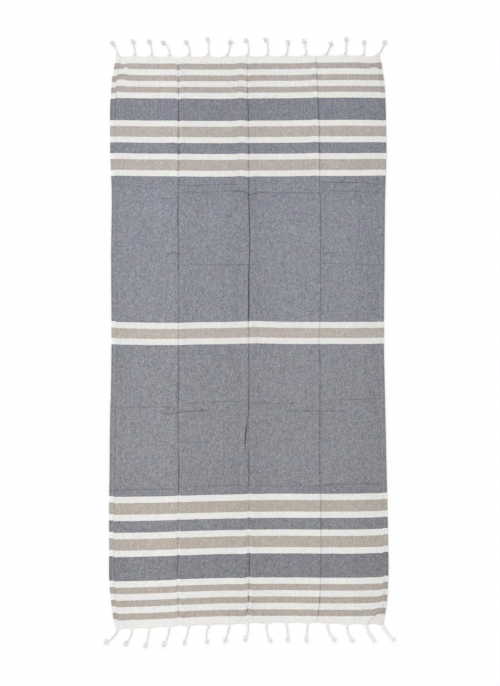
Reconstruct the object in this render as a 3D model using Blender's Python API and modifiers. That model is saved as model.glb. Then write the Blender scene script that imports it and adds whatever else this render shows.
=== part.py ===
"""A flat-woven hammam towel, laid out flat on a floor.

Metres, +Z up. X runs across the towel, Y along it, and the floor is z = 0. The origin is on the floor,
in the middle of the box that the cloth and its tassels fill.

The towel is three pieces: the cloth with its two side hems, and at each end a fringe of fifteen
knotted tassels on a narrow strip of the cloth's end. Places on the cloth are given as two distances:
"across", from the cloth's middle towards +X, and "along", from the origin towards the upper end.
"""

import math

import bmesh
import bpy
import numpy as np
from mathutils import Matrix, Vector

# Driving dimensions
CLOTH_WIDTH = 0.897
CLOTH_MIDDLE_X = -0.006
UPPER_EDGE = 0.935
LOWER_EDGE = -0.919
CLOTH_THICKNESS = 0.0012
HEM_WIDTH = 0.015
HEM_STEP = 0.002
HEM_THICKNESS = 0.0024
PARTING_GAP = 0.00045

# Storage creases: each is a low line with a soft shoulder on both sides
CREASE_PEAK = 0.007
CREASE_HALF = 0.017
CREASE_REACH = 0.032
CROSS_PEAK = 0.007
CROSS_REACH = 0.026
END_FADE = 0.025

# Fringe
STRIP_WIDTH = 0.005
SCALLOP_DEPTH = 0.004
CORD_WIDTH = 0.0056
CORD_HEIGHT = 0.0050
TWIST_STEP = 0.0055
TWIST_SWELL = 0.0005
CROWN_SHARE = 0.85
KNOT_LENGTH = 0.0150
KNOT_WIDTH = 0.0140
KNOT_HEIGHT = 0.0110
KNOT_SEAT = 0.0013
TAIL_LENGTH = 0.0105

# The cloth's faces are at most this large
WIDEST_COLUMN = 0.055
LONGEST_ROW = 0.100

# Materials: base colour, roughness
COTTON_STRIPED = ((0.27, 0.27, 0.30, 1.0), 0.9)
COTTON_WHITE = ((0.80, 0.79, 0.76, 1.0), 0.9)

MM = 0.001

# How far each long side is drawn in from its straight line, in mm: along, left side, right side
SIDE_DRAW = (
    (935, 18.3, 18.0),
    (916, 13.7, 13.4),
    (897, 10.5, 10.1),
    (857, 3.6, 4.2),
    (818, 0.7, 0.7),
    (753, -2.6, -2.0),
    (635, -2.3, -3.9),
    (479, 2.9, 0.0),
    (283, 0.7, 2.0),
    (8, 2.0, 4.1),
    (-109, 1.3, 2.0),
    (-266, -2.6, -1.3),
    (-423, -3.9, -4.6),
    (-541, -5.6, -7.5),
    (-737, -5.6, -10.8),
    (-795, -2.9, -9.1),
    (-844, 2.9, -6.2),
    (-887, 8.2, -0.3),
    (-919, 15.0, 5.2),
)

# How far the weft drifts from a straight line, in mm towards the upper end. The first column is the
# place across; the others are the lines listed in DRIFT_LINES, from the upper edge to the lower one.
DRIFT_LINES = (935, 914, 546, 67, -496, -894, -919)
WEFT_DRIFT = (
    (-443, 0.0, 0.7, 2.9, 0.7, -8.2, -13.1, -17.0),
    (-319, 0.0, -1.3, -0.3, -2.9, -6.9, -10.8, -12.0),
    (-234, -1.0, -0.5, 0.2, -2.5, -4.9, -5.5, -7.0),
    (-156, -0.7, -1.0, -1.0, -1.3, -2.3, -0.7, -4.0),
    (-74, -0.7, -1.3, -1.1, 0.3, -0.3, 1.6, -1.6),
    (27, 0.0, 0.0, -0.3, 3.3, 2.0, 2.9, 2.6),
    (122, 1.3, 0.3, 0.0, 0.7, 2.3, 2.0, 4.0),
    (210, 1.3, 2.0, 1.3, 0.3, 2.0, 1.3, 4.0),
    (341, 5.2, 3.6, 1.6, 0.3, 2.3, 0.3, -1.0),
    (445, 8.0, 4.6, 4.2, 1.6, 4.9, 3.9, -0.7),
)

# Lengthwise creases, in mm: place across, then the shoulders' rise at the upper end, the middle
# and the lower end
LENGTHWISE_CREASES = (
    (-227, 2.6, 3.2, 2.8),
    (3, 2.8, 4.4, 3.0),
    (236, 2.4, 3.0, 2.8),
)

# Crosswise creases, in mm: place along, then the shoulders' rise in each panel from -X to +X
CROSS_CREASES = (
    (488, 0.6, 1.6, 1.2, 1.4),
    (254, 0.5, 1.4, 0.5, 1.3),
    (-225, 0.9, 1.6, 1.2, 1.0),
    (-469, 0.7, 1.0, 1.1, 1.8),
)

# Tassels, in mm: place of the root across, how far the knot's middle lies past the edge, how far it
# lies to +X of its root, and how far the cord bows to +X of the straight line between them
UPPER_TASSELS = (
    (-440, 42.1, -20.3, 2.5),
    (-380, 48.3, -8.5, 0.7),
    (-320, 48.3, -10.1, 2.4),
    (-257, 46.0, -21.9, 3.3),
    (-191, 46.8, -9.5, 6.0),
    (-129, 56.8, -2.6, 3.6),
    (-67, 48.2, 11.4, 1.7),
    (-2, 51.8, -3.9, 7.2),
    (65, 53.3, -6.2, 4.7),
    (126, 45.4, 5.2, 2.2),
    (193, 48.0, -8.5, 0.8),
    (257, 39.1, 17.0, 1.3),
    (326, 50.0, 5.9, 2.2),
    (392, 39.0, 2.6, 1.6),
    (442, 37.7, 23.5, 2.9),
)
LOWER_TASSELS = (
    (-437, 44.2, -40.5, 5.3),
    (-388, 51.8, -21.9, 5.6),
    (-328, 59.8, -14.0, 3.1),
    (-258, 60.5, -18.3, 5.2),
    (-191, 57.4, -15.7, 2.6),
    (-123, 55.8, -9.5, -5.7),
    (-59, 54.7, -15.0, 2.7),
    (0, 54.0, -7.8, 5.2),
    (63, 57.9, 11.1, -4.2),
    (127, 57.2, 3.9, 1.8),
    (197, 57.5, -5.2, 0.1),
    (262, 53.9, 22.2, -6.1),
    (328, 54.3, 17.0, -4.9),
    (392, 52.0, 24.2, -3.2),
    (446, 48.2, 34.3, -2.1),
)


# A cord's sections where it leaves the cloth, in mm: distance past the edge, width, height
ROOT_SECTIONS = (
    (-2.5, 10.0, 1.9),
    (3.0, 9.0, 2.8),
    (8.0, 6.4, 4.4),
)

# Its sections past the knot: share of the tail's length, then width and height in mm
TAIL_SECTIONS = (
    (0.7, 6.0, 4.6),
    (1.0, 4.4, 3.4),
)


def clear_scene():
    for obj in list(bpy.data.objects):
        bpy.data.objects.remove(obj, do_unlink=True)


def new_collection(name):
    collection = bpy.data.collections.new(name)
    bpy.context.scene.collection.children.link(collection)
    return collection


def new_material(name, finish):
    colour, roughness = finish
    material = bpy.data.materials.new(name)
    material.use_nodes = True
    shader = material.node_tree.nodes["Principled BSDF"]
    shader.inputs["Base Color"].default_value = colour
    shader.inputs["Roughness"].default_value = roughness
    shader.inputs["Metallic"].default_value = 0.0
    return material


def read_table(place, table, column):
    """The value of one column of a table at this place, straight between its rows."""
    rows = sorted(table)
    return MM * np.interp(place / MM, [row[0] for row in rows], [row[column] for row in rows])


def side_draw(across, along):
    """How far a point moves towards the middle because its side is drawn in there."""
    inner = abs(LENGTHWISE_CREASES[0][0]) * MM
    share = max(0.0, (abs(across) - inner) / (CLOTH_WIDTH / 2 - inner))
    if across < 0:
        return share * read_table(along, SIDE_DRAW, 1)
    return -share * read_table(along, SIDE_DRAW, 2)


def weft_drift(across, along):
    drifts = [read_table(across, WEFT_DRIFT, line + 1) for line in range(len(DRIFT_LINES))]
    lines = [line * MM for line in DRIFT_LINES]
    return np.interp(along, lines[::-1], drifts[::-1])


def shoulder(distance, peak, reach):
    """0 on a crease's line, 1 at the peak beside it and 0 again past its reach."""
    distance = abs(distance)
    if distance <= peak:
        return math.sin(0.5 * math.pi * distance / peak)
    if distance < reach:
        return 0.5 + 0.5 * math.cos(math.pi * (distance - peak) / (reach - peak))
    return 0.0


def fold_height(across, along):
    """How far the cloth's underside is lifted off the floor beside its creases."""
    height = 0.0
    for place, upper, middle, lower in LENGTHWISE_CREASES:
        rise = MM * np.interp(along, [LOWER_EDGE, 0.0, UPPER_EDGE], [lower, middle, upper])
        height += rise * shoulder(across - place * MM, CREASE_PEAK, CREASE_REACH)
    bounds = [-CLOTH_WIDTH / 2, *(row[0] * MM for row in LENGTHWISE_CREASES), CLOTH_WIDTH / 2]
    panels = [(low + high) / 2 for low, high in zip(bounds, bounds[1:])]
    for place, *rises in CROSS_CREASES:
        rise = MM * np.interp(across, panels, rises)
        height += rise * shoulder(along - place * MM, CROSS_PEAK, CROSS_REACH)
    to_end = min(UPPER_EDGE - along, along - LOWER_EDGE) - STRIP_WIDTH
    return height * min(1.0, max(0.0, to_end / END_FADE))


def laid(across, along):
    """Where a point of the cloth's underside lies."""
    x = CLOTH_MIDDLE_X + across + side_draw(across, along)
    return Vector((x, along + weft_drift(across, along), fold_height(across, along)))


def between(start, end, most):
    """Even stations strictly between two places, at most this far apart."""
    count = math.ceil((end - start) / most)
    return [start + (end - start) * step / count for step in range(1, count)]


def filled(stations, most):
    """The stations in order, with more between them wherever they are too far apart."""
    stations = sorted(stations)
    found = []
    for start, end in zip(stations, stations[1:]):
        found += [start, *between(start, end, most)]
    return found + [stations[-1]]


def cloth_stations():
    """Places across and along that the cloth's hems, creases and outline need."""
    side = CLOTH_WIDTH / 2
    across = [-side, HEM_WIDTH - side, HEM_WIDTH + HEM_STEP - side]
    across += [-place for place in across]
    across += [row[0] * MM for row in WEFT_DRIFT[1:-1]]
    for place, *_ in LENGTHWISE_CREASES:
        offsets = (CREASE_PEAK, CREASE_HALF, CREASE_REACH)
        across += [place * MM, *(place * MM + offset for offset in offsets)]
        across += [place * MM - offset for offset in offsets]
    upper = UPPER_EDGE - STRIP_WIDTH - PARTING_GAP
    lower = LOWER_EDGE + STRIP_WIDTH + PARTING_GAP
    along = [upper, upper - END_FADE, lower, lower + END_FADE]
    for place, *_ in CROSS_CREASES:
        along += [place * MM + offset for offset in (-CROSS_REACH, -CROSS_PEAK, 0.0)]
        along += [place * MM + offset for offset in (CROSS_PEAK, CROSS_REACH)]
    inside = [row[0] * MM for row in SIDE_DRAW[2:-2]]
    along += [place for place in inside if all(abs(place - other) > CROSS_REACH for other in along)]
    return filled(across, WIDEST_COLUMN), filled(along, LONGEST_ROW)


def sheet_mesh(name, across, along, place):
    """An open grid of the stations, each point set where place(across, along) says.

    It also gives the points of the side hems, which are the outer two columns on each side.
    """
    grid = bmesh.new()
    columns = len(across) - 1
    rows = len(along) - 1
    bmesh.ops.create_grid(grid, x_segments=columns, y_segments=rows, size=0.5)
    hem_points = []
    for vert in grid.verts:
        column = round((vert.co.x + 0.5) * columns)
        row = round((vert.co.y + 0.5) * rows)
        vert.co = place(across[column], along[row])
        if min(column, columns - column) < 2:
            hem_points.append(vert.index)
    mesh = bpy.data.meshes.new(name)
    grid.to_mesh(mesh)
    grid.free()
    return mesh, hem_points


def add_object(name, mesh, material, collection):
    obj = bpy.data.objects.new(name, mesh)
    obj.data.materials.append(material)
    collection.objects.link(obj)
    return obj


def add_sheet(name, across, along, place, material, collection):
    """A sheet that gets its thickness upwards, so its underside stays on the floor."""
    mesh, hem_points = sheet_mesh(name, across, along, place)
    sheet = add_object(name, mesh, material, collection)
    hems = sheet.vertex_groups.new(name="side_hems")
    hems.add(hem_points, 1.0, "REPLACE")
    solidify = sheet.modifiers.new("thickness", "SOLIDIFY")
    solidify.thickness = HEM_THICKNESS
    solidify.offset = 1.0
    solidify.vertex_group = hems.name
    solidify.thickness_vertex_group = CLOTH_THICKNESS / HEM_THICKNESS
    return sheet


def make_cloth(material, collection):
    across, along = cloth_stations()
    return add_sheet("towel_cloth", across, along, laid, material, collection)


def scallop(across, roots):
    """How far the woven edge is drawn back between two tassels."""
    if not roots[0] < across < roots[-1]:
        return 0.0
    after = next(index for index, root in enumerate(roots) if root > across)
    share = (across - roots[after - 1]) / (roots[after] - roots[after - 1])
    return SCALLOP_DEPTH * math.sin(math.pi * share)


def make_strip(name, tassels, edge, outward, material, collection):
    """The narrow strip of the cloth's end that holds one fringe."""
    roots = [row[0] * MM for row in tassels]
    middles = [(low + high) / 2 for low, high in zip(roots, roots[1:])]
    drift_places = [row[0] * MM for row in WEFT_DRIFT[1:-1]]
    across = sorted({-CLOTH_WIDTH / 2, *roots, *middles, *drift_places, CLOTH_WIDTH / 2})
    inner = edge - outward * STRIP_WIDTH

    def place(across, along):
        point = laid(across, inner)
        point.z = 0.0
        if along != inner:
            point.y += outward * (STRIP_WIDTH - scallop(across, roots))
        return point

    return add_sheet(name, across, sorted((inner, edge)), place, material, collection)


def cord_stations(length):
    """Distance from the root, width and height of each section of a cord, root to tip."""
    sections = [(distance * MM, width * MM, height * MM) for distance, width, height in ROOT_SECTIONS]
    free_from = sections[-1][0]
    for turn, distance in enumerate(between(free_from, length, TWIST_STEP)):
        swell = TWIST_SWELL * (-1) ** turn
        sections.append((distance, CORD_WIDTH + swell, CORD_HEIGHT - swell))
    sections.append((length, CORD_WIDTH, CORD_HEIGHT))
    for share, width, height in TAIL_SECTIONS:
        sections.append((length + share * TAIL_LENGTH, width * MM, height * MM))
    return sections


class CordPath:
    """A cord's line on the floor: straight from root to knot, bowed to one side."""

    def __init__(self, root, knot, bow):
        self.root = root
        self.reach = knot - root
        self.length = self.reach.length
        aim = self.reach.normalized()
        self.side = Vector((aim.y, -aim.x, 0.0))
        if self.side.x < 0:
            self.side.negate()
        self.bow = bow

    def point(self, distance):
        share = distance / self.length
        inside = min(1.0, max(0.0, share))
        return self.root + self.reach * share + self.side * self.bow * 4 * inside * (1 - inside)

    def aim_at(self, distance):
        step = 0.001
        return (self.point(distance + step) - self.point(distance - step)).normalized()


def loft(mesh, rings):
    """A closed tube through rings of equally many corners, with flat ends."""
    verts = [[mesh.verts.new(corner) for corner in ring] for ring in rings]
    for ring, following in zip(verts, verts[1:]):
        for corner in range(len(ring)):
            beside = (corner + 1) % len(ring)
            mesh.faces.new((ring[corner], ring[beside], following[beside], following[corner]))
    mesh.faces.new(verts[0][::-1])
    mesh.faces.new(verts[-1])


def make_cord(name, path, material, collection):
    """A four-sided cord that lies level on the floor, flat and wide where it leaves the cloth."""
    shape = bmesh.new()
    rings = []
    for distance, width, height in cord_stations(path.length):
        aim = path.aim_at(distance)
        side = Vector((aim.y, -aim.x, 0.0)) * width / 2
        middle = path.point(distance)
        top = Vector((0.0, 0.0, height))
        crown = side * CROWN_SHARE
        rings.append((middle - side, middle + side, middle + crown + top, middle - crown + top))
    loft(shape, rings)
    bmesh.ops.recalc_face_normals(shape, faces=shape.faces)
    mesh = bpy.data.meshes.new(name)
    shape.to_mesh(mesh)
    shape.free()
    return add_object(name, mesh, material, collection)


def make_knot(name, path, material, collection):
    """A knot's rounded lump, settled level on the floor."""
    shape = bmesh.new()
    bmesh.ops.create_uvsphere(shape, u_segments=8, v_segments=5, radius=0.5)
    aim = path.aim_at(path.length)
    turn = Matrix.Rotation(math.atan2(aim.y, aim.x), 4, "Z")
    size = Matrix.Diagonal((KNOT_LENGTH, KNOT_WIDTH, KNOT_HEIGHT, 1.0))
    place = Matrix.Translation(path.point(path.length) + Vector((0.0, 0.0, KNOT_HEIGHT / 2)))
    bmesh.ops.transform(shape, matrix=place @ turn @ size, verts=shape.verts)
    for vert in shape.verts:
        if vert.co.z < KNOT_SEAT:
            vert.co.z = 0.0
    mesh = bpy.data.meshes.new(name)
    shape.to_mesh(mesh)
    shape.free()
    return add_object(name, mesh, material, collection)


def make_fringe(name, tassels, edge, outward, material, parts):
    """One end's strip with its fifteen cords and knots grown into it."""
    strip = make_strip(name, tassels, edge, outward, material, parts)
    blanks = new_collection(name + "_blanks")
    for index, (across, reach, lean, bow) in enumerate(tassels, start=1):
        root = laid(across * MM, edge)
        root.z = 0.0
        knot = root + Vector((lean * MM, outward * reach * MM, 0.0))
        path = CordPath(root, knot, bow * MM)
        make_cord(f"{name}_cord_{index:02d}", path, material, blanks)
        make_knot(f"{name}_knot_{index:02d}", path, material, blanks)
    for blank in blanks.objects:
        blank.hide_render = True
        blank.display_type = "WIRE"
    union = strip.modifiers.new("tassels", "BOOLEAN")
    union.operation = "UNION"
    union.operand_type = "COLLECTION"
    union.collection = blanks
    union.solver = "EXACT"
    return strip


def main():
    clear_scene()
    parts = new_collection("hammam_towel")
    striped = new_material("cotton_striped", COTTON_STRIPED)
    white = new_material("cotton_white", COTTON_WHITE)
    make_cloth(striped, parts)
    make_fringe("fringe_upper", UPPER_TASSELS, UPPER_EDGE, 1, white, parts)
    make_fringe("fringe_lower", LOWER_TASSELS, LOWER_EDGE, -1, white, parts)


main()
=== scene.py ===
"""Dresses a flat-woven hammam towel laid out flat: striped cloth, hem stitching and tassels.

Laid out as an add-on: sizes and dyes are properties, and one operator makes each piece.
Metres, +Z up. X runs across the towel, Y along it, and the floor is z = 0. Places on the cloth are
given as two distances: "across", from the cloth's middle towards +X, and "along", from the origin
towards the upper end. The tables are in millimetres, and they repeat the outline, folds and cords
of the towel's solids.
"""

import math

import bpy
import numpy as np
from bpy.props import EnumProperty, FloatProperty, FloatVectorProperty, IntProperty, PointerProperty
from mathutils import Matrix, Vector


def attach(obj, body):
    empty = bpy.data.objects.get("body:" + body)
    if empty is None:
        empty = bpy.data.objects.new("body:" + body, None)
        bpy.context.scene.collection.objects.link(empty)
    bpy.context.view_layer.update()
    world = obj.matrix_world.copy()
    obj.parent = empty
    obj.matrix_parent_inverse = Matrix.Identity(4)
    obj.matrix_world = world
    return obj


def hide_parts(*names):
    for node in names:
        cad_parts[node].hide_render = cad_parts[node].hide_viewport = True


bl_info = {
    "name": "Hammam Towel",
    "version": (1, 0, 0),
    "blender": (4, 5, 0),
    "location": "3D View > Sidebar > Towel",
    "description": "Weaves, hems and fringes a striped hammam towel laid out flat",
    "category": "Add Mesh",
}

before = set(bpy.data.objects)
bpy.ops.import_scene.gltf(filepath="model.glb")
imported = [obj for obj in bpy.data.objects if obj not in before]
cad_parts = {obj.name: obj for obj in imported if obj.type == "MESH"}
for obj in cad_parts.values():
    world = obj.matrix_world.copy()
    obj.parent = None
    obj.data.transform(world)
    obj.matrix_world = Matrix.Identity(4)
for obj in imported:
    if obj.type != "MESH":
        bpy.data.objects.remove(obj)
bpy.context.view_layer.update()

MM = 0.001

# The cloth's outline, as in its solid
CLOTH_WIDTH = 0.897
CLOTH_MIDDLE_X = -0.006
UPPER_EDGE = 0.935
LOWER_EDGE = -0.919
# The last picks reach this far past those edges, over the roots of the tassels
PICKS_PAST_EDGE = 0.0022
WOVEN_UPPER = UPPER_EDGE + PICKS_PAST_EDGE
WOVEN_LOWER = LOWER_EDGE - PICKS_PAST_EDGE
# Between two tassels the edge is drawn back this deep, and the picks this far in still follow it
SCALLOP_DEPTH = 0.0036
SCALLOP_REACH = 0.016
# The creases flatten out over this distance before the ends, to this share of their height
END_FADE = 0.025
END_FADE_FLOOR = 0.3

# How far each long side is drawn in from its straight line, in mm: along, left side, right side
SIDE_DRAW = (
    (935, 19.7, 18.0),
    (916, 15.1, 13.4),
    (897, 11.9, 10.1),
    (857, 5.0, 4.2),
    (818, 2.1, 0.7),
    (753, -1.2, -2.0),
    (635, -0.9, -3.9),
    (479, 4.3, 0.0),
    (283, 2.1, 2.0),
    (8, 3.4, 4.1),
    (-109, 2.2, 2.0),
    (-266, -1.7, -1.3),
    (-423, -3.0, -4.6),
    (-541, -4.7, -7.5),
    (-737, -4.7, -10.8),
    (-795, -2.0, -9.1),
    (-844, 3.8, -6.2),
    (-887, 9.1, -0.3),
    (-919, 15.9, 5.2),
)
# Only the cloth further than this from its middle is drawn in
DRAWN_FROM = 0.227

# How far the weft drifts from a straight line, in mm towards the upper end. The first column is the
# place across; the others are the lines in DRIFT_LINES, from the upper edge to the lower one.
DRIFT_LINES = (935, 914, 546, 67, -496, -894, -919)
WEFT_DRIFT = (
    (-443, 0.0, 0.7, 2.9, 0.7, -8.2, -13.1, -17.0),
    (-319, 0.0, -0.3, 0.4, -2.0, -6.9, -9.4, -12.0),
    (-234, -1.0, -0.5, 0.2, -2.5, -4.9, -5.5, -7.0),
    (-156, -0.7, -1.0, -1.0, -0.5, -2.6, -1.5, -4.0),
    (-74, -0.7, -1.3, -1.1, 0.3, -0.6, 0.8, -1.6),
    (27, 0.0, 0.0, -0.3, 3.0, 1.5, 2.1, 2.6),
    (122, 1.3, 0.3, 0.0, 0.7, 2.3, 2.0, 4.0),
    (210, 1.3, 2.0, 1.3, 0.3, 2.0, 1.3, 4.0),
    (341, 4.3, 3.2, 1.4, 0.3, 2.3, 0.3, -1.0),
    (400, 0.8, 2.4, 2.2, 0.6, 3.6, 2.0, -1.1),
    (445, 4.0, 2.6, 3.4, 1.6, 4.9, 3.9, -0.7),
)

# Where the lengthwise creases pull the weft aside, in mm: place across, half width, then the pull
# towards the upper end at the upper and at the lower edge
WEFT_DIPS = (
    (-226, 7.0, -2.9, 2.9),
    (3, 7.0, -1.8, 2.9),
    (-24, 11.0, 2.6, -1.0),
    (218, 9.0, 2.1, 0.0),
)

# How far the stripes in the side hems lag towards the middle, in mm: along, left hem, right hem
HEM_LAG = (
    (917, 0.0, -1.2),
    (893, 1.5, 2.4),
    (877, 4.4, -0.6),
    (857, 6.0, 2.4),
    (838, 4.6, 0.2),
    (818, 3.8, 2.9),
    (799, 3.3, 1.2),
    (728, 0.8, 1.4),
    (673, 1.0, 1.4),
    (600, 1.0, 1.6),
    (545, 1.4, 1.2),
    (480, 0.0, 0.0),
    (110, 0.0, 0.0),
    (67, -2.0, 0.0),
    (20, -0.8, 0.0),
    (0, 0.0, 0.0),
    (-430, 0.0, 0.0),
    (-500, 3.0, 1.2),
    (-560, 2.8, 1.5),
    (-614, 3.6, 2.6),
    (-675, 3.6, 2.8),
    (-769, 3.3, 4.2),
    (-790, 3.2, 4.6),
    (-806, 3.1, 2.4),
    (-823, 3.0, 3.6),
    (-843, 3.4, 3.4),
    (-866, 3.9, 2.6),
    (-893, 3.9, 2.6),
)
# The lag begins this far past the hem, and is full after this width
LAG_PAST_HEM = 0.0022
LAG_FADE = 0.0040

# Places beside the hems where the seam puckers the cloth and pulls its weft, in mm: place across
# and along, half width and half length, pull towards the upper end
WEFT_PUCKERS = (
    (-416, 862, 17, 34, 4.2),
    (-419, 904, 9, 16, -4.0),
    (-409, 917, 5, 7, -4.5),
    (-408, 893, 6, 8, 7.0),
    (412, 914, 13, 9, -3.4),
    (421, 893, 9, 8, 5.8),
    (430, 740, 22, 110, -1.2),
    (426, -884, 14, 22, 5.4),
    (414, -899, 5, 8, -3.5),
    (434, -832, 8, 26, 2.4),
)

# The seam of a side hem: its distance from the side, how far its groove spreads, and how deep it is
SEAM_INSET = 0.0112
SEAM_SPREAD = 0.0013
SEAM_SINK = 0.0006
# Width of the step from the hem down to the single cloth, and radii of the rim at sides and ends
HEM_STEP = 0.0018
SIDE_ROUNDING = 0.0012
END_ROUNDING = 0.0009
# How much the left and the right hem differ in shade from the single cloth; then how dark the
# painted shade in their seams is
HEM_STRENGTH = (1.0, 0.30)
SEAM_PAINTED_SHADE = (0.35, 1.0)
# The hems are greyer towards the ends: from and to this far from the middle, and the shade lost
HEM_GREY_FROM = 0.60
HEM_GREY_TO = 0.84
HEM_GREY = 0.10

# The weft bands of half the towel, in mm from the pattern's middle outwards: width, yarn, shade
WEFT_BANDS = (
    (16.3, "beige", 1.04),
    (19.8, "white", 0.955),
    (483.3, "navy", 1.006),
    (19.8, "white", 1.00),
    (36.6, "beige", 1.04),
    (19.8, "white", 1.00),
    (36.8, "navy", 1.005),
    (19.8, "white", 1.00),
    (35.9, "beige", 1.05),
    (19.7, "white", 1.00),
    (75.5, "navy", 0.945),
    (19.7, "white", 1.00),
    (20.1, "beige", 1.03),
    (19.8, "white", 1.00),
    (20.1, "beige", 1.03),
    (20.0, "white", 1.00),
    (20.1, "beige", 1.03),
    (60.0, "white", 1.02),
)
PATTERN_MIDDLE = 0.0307
# The weft is beaten closer towards the upper end: share of a place's length lost per metre
BEAT_CHANGE = 0.0272

# Painted light falloff of the cloth from its left to its right side: place across in mm, shade
PAINTED_FALLOFF_ACROSS = (
    (-448, 1.040),
    (-408, 1.058),
    (-365, 1.084),
    (-320, 1.095),
    (-270, 1.098),
    (-240, 1.080),
    (-215, 1.055),
    (-150, 1.034),
    (-107, 1.033),
    (-65, 1.012),
    (-22, 0.985),
    (20, 0.990),
    (43, 1.000),
    (86, 1.016),
    (128, 1.033),
    (170, 1.037),
    (213, 1.020),
    (272, 1.010),
    (314, 1.004),
    (357, 0.977),
    (399, 0.941),
    (448, 0.920),
)
# Painted light falloff: both ends of the towel are darker than its middle, from and to this far
# from the middle, and the shade
END_FALLOFF_FROM = 0.38
END_FALLOFF_TO = 0.53
PAINTED_END_FALLOFF = 0.945

# Storage creases that run along the towel, in mm: place along, place across, rise beside the line;
# then how dark the painted shade along the line is
LEFT_FOLD = (
    (-919, -227.7, 1.2, 0.60),
    (-850, -227.7, 1.2, 1.05),
    (-785, -229.0, 1.2, 0.65),
    (-720, -229.6, 1.3, 0.95),
    (-620, -228.4, 1.2, 0.75),
    (-520, -226.8, 1.3, 0.25),
    (-465, -225.3, 2.4, 1.30),
    (-410, -224.9, 3.0, 1.10),
    (-340, -226.5, 3.0, 0.80),
    (-240, -227.2, 3.0, 0.75),
    (-150, -226.4, 3.1, 1.05),
    (-60, -225.4, 3.2, 0.75),
    (20, -224.8, 3.2, 0.42),
    (170, -224.8, 3.0, 0.42),
    (250, -225.2, 3.0, 0.65),
    (320, -225.6, 3.0, 0.80),
    (390, -228.0, 3.0, 1.10),
    (449, -227.4, 3.0, 0.95),
    (508, -225.4, 3.0, 0.60),
    (560, -225.2, 2.9, 1.05),
    (780, -225.5, 2.7, 1.15),
    (860, -225.8, 2.6, 0.75),
    (935, -225.8, 2.6, 0.45),
)
MIDDLE_FOLD = (
    (-925, -30.0, 1.2, 0.30),
    (-905, -17.0, 1.5, 0.50),
    (-891, -6.5, 2.0, 0.80),
    (-870, -0.5, 3.2, 1.50),
    (-845, 3.0, 3.2, 1.30),
    (-800, 4.2, 2.8, 1.15),
    (-720, 5.2, 2.2, 1.25),
    (-650, 3.6, 1.3, 0.50),
    (-590, 5.0, 1.3, 0.40),
    (-520, 3.3, 1.3, 0.30),
    (-455, 3.2, 2.5, 0.60),
    (-400, 3.3, 3.2, 1.10),
    (-366, 3.6, 3.2, 0.60),
    (-345, 4.0, 2.8, 0.15),
    (-286, 4.2, 2.8, 0.10),
    (-250, 4.0, 3.4, 0.30),
    (-217, 3.3, 4.2, 1.05),
    (-158, 4.2, 4.4, 0.75),
    (-100, 4.0, 4.4, 0.45),
    (-41, 3.4, 4.0, 0.65),
    (20, 4.5, 3.5, 0.80),
    (60, 2.8, 4.0, 1.30),
    (110, 3.4, 4.3, 1.90),
    (214, 3.6, 4.5, 1.70),
    (272, 5.3, 4.6, 0.75),
    (331, 6.7, 4.6, 1.50),
    (390, 6.0, 4.3, 1.40),
    (449, 4.3, 4.0, 1.40),
    (508, 4.0, 3.6, 0.75),
    (583, 3.0, 3.1, 0.95),
    (640, 3.7, 3.0, 1.05),
    (690, 2.7, 3.0, 0.85),
    (755, 1.9, 3.0, 1.15),
    (810, 0.2, 2.9, 1.10),
    (900, 0.0, 2.8, 0.45),
    (935, -2.0, 2.6, 0.12),
)
RIGHT_FOLD = (
    (-919, 222.0, 2.6, 0.40),
    (-903, 224.6, 2.8, 0.45),
    (-861, 230.0, 2.9, 1.20),
    (-802, 234.3, 3.0, 0.65),
    (-730, 235.6, 3.0, 0.65),
    (-648, 236.8, 3.0, 0.60),
    (-560, 235.8, 3.0, 0.95),
    (-452, 233.4, 3.0, 0.50),
    (-394, 232.2, 3.0, 0.60),
    (-276, 232.8, 3.0, 0.75),
    (-158, 233.0, 3.0, 0.50),
    (-100, 233.6, 3.0, 0.50),
    (-41, 232.2, 3.0, 0.80),
    (8, 230.0, 3.0, 0.50),
    (60, 232.0, 3.0, 0.50),
    (100, 234.6, 3.0, 0.60),
    (280, 235.0, 3.0, 0.60),
    (330, 235.0, 3.0, 0.80),
    (449, 235.0, 3.0, 0.80),
    (508, 231.8, 3.0, 0.20),
    (583, 232.0, 2.9, 1.10),
    (690, 231.0, 2.8, 1.20),
    (750, 228.9, 2.7, 1.10),
    (782, 227.8, 2.6, 1.05),
    (828, 225.0, 2.6, 0.70),
    (900, 222.0, 2.5, 0.85),
    (935, 219.5, 2.4, 0.60),
)
# Short wrinkles that run along the towel, with the same columns or the first three of them
MIDDLE_BRANCH = (
    (-370, -8.0, 0.0, 0.0),
    (-345, -8.2, 1.8, 1.30),
    (-312, -7.6, 2.6, 2.00),
    (-276, -3.6, 2.6, 1.70),
    (-250, -0.6, 1.8, 0.9),
    (-226, 3.0, 0.0, 0.0),
)
RIGHT_WRINKLE = (
    (246, 351.4, 0.0),
    (258, 352.6, 0.5),
    (309, 356.0, 1.1),
    (360, 364.0, 0.9),
    (405, 371.6, 0.0),
)
PAIR_LINK = ((488, -24.5, 0.0), (497, -27.0, 0.9), (508, -31.0, 1.0), (517, -34.5, 0.0))
UPPER_PLEAT = (
    (864, 434.0, 0.0, 0.0),
    (880, 429.0, 1.6, 0.7),
    (899, 421.0, 2.4, 1.0),
    (914, 408.0, 1.6, 0.6),
    (930, 398.0, 0.0, 0.0),
)
LOWER_PLEAT = (
    (-923, 390.0, 1.6, 1.0),
    (-903, 408.0, 2.6, 1.7),
    (-891, 420.0, 2.2, 1.3),
    (-878, 431.0, 0.0, 0.0),
)
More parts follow.
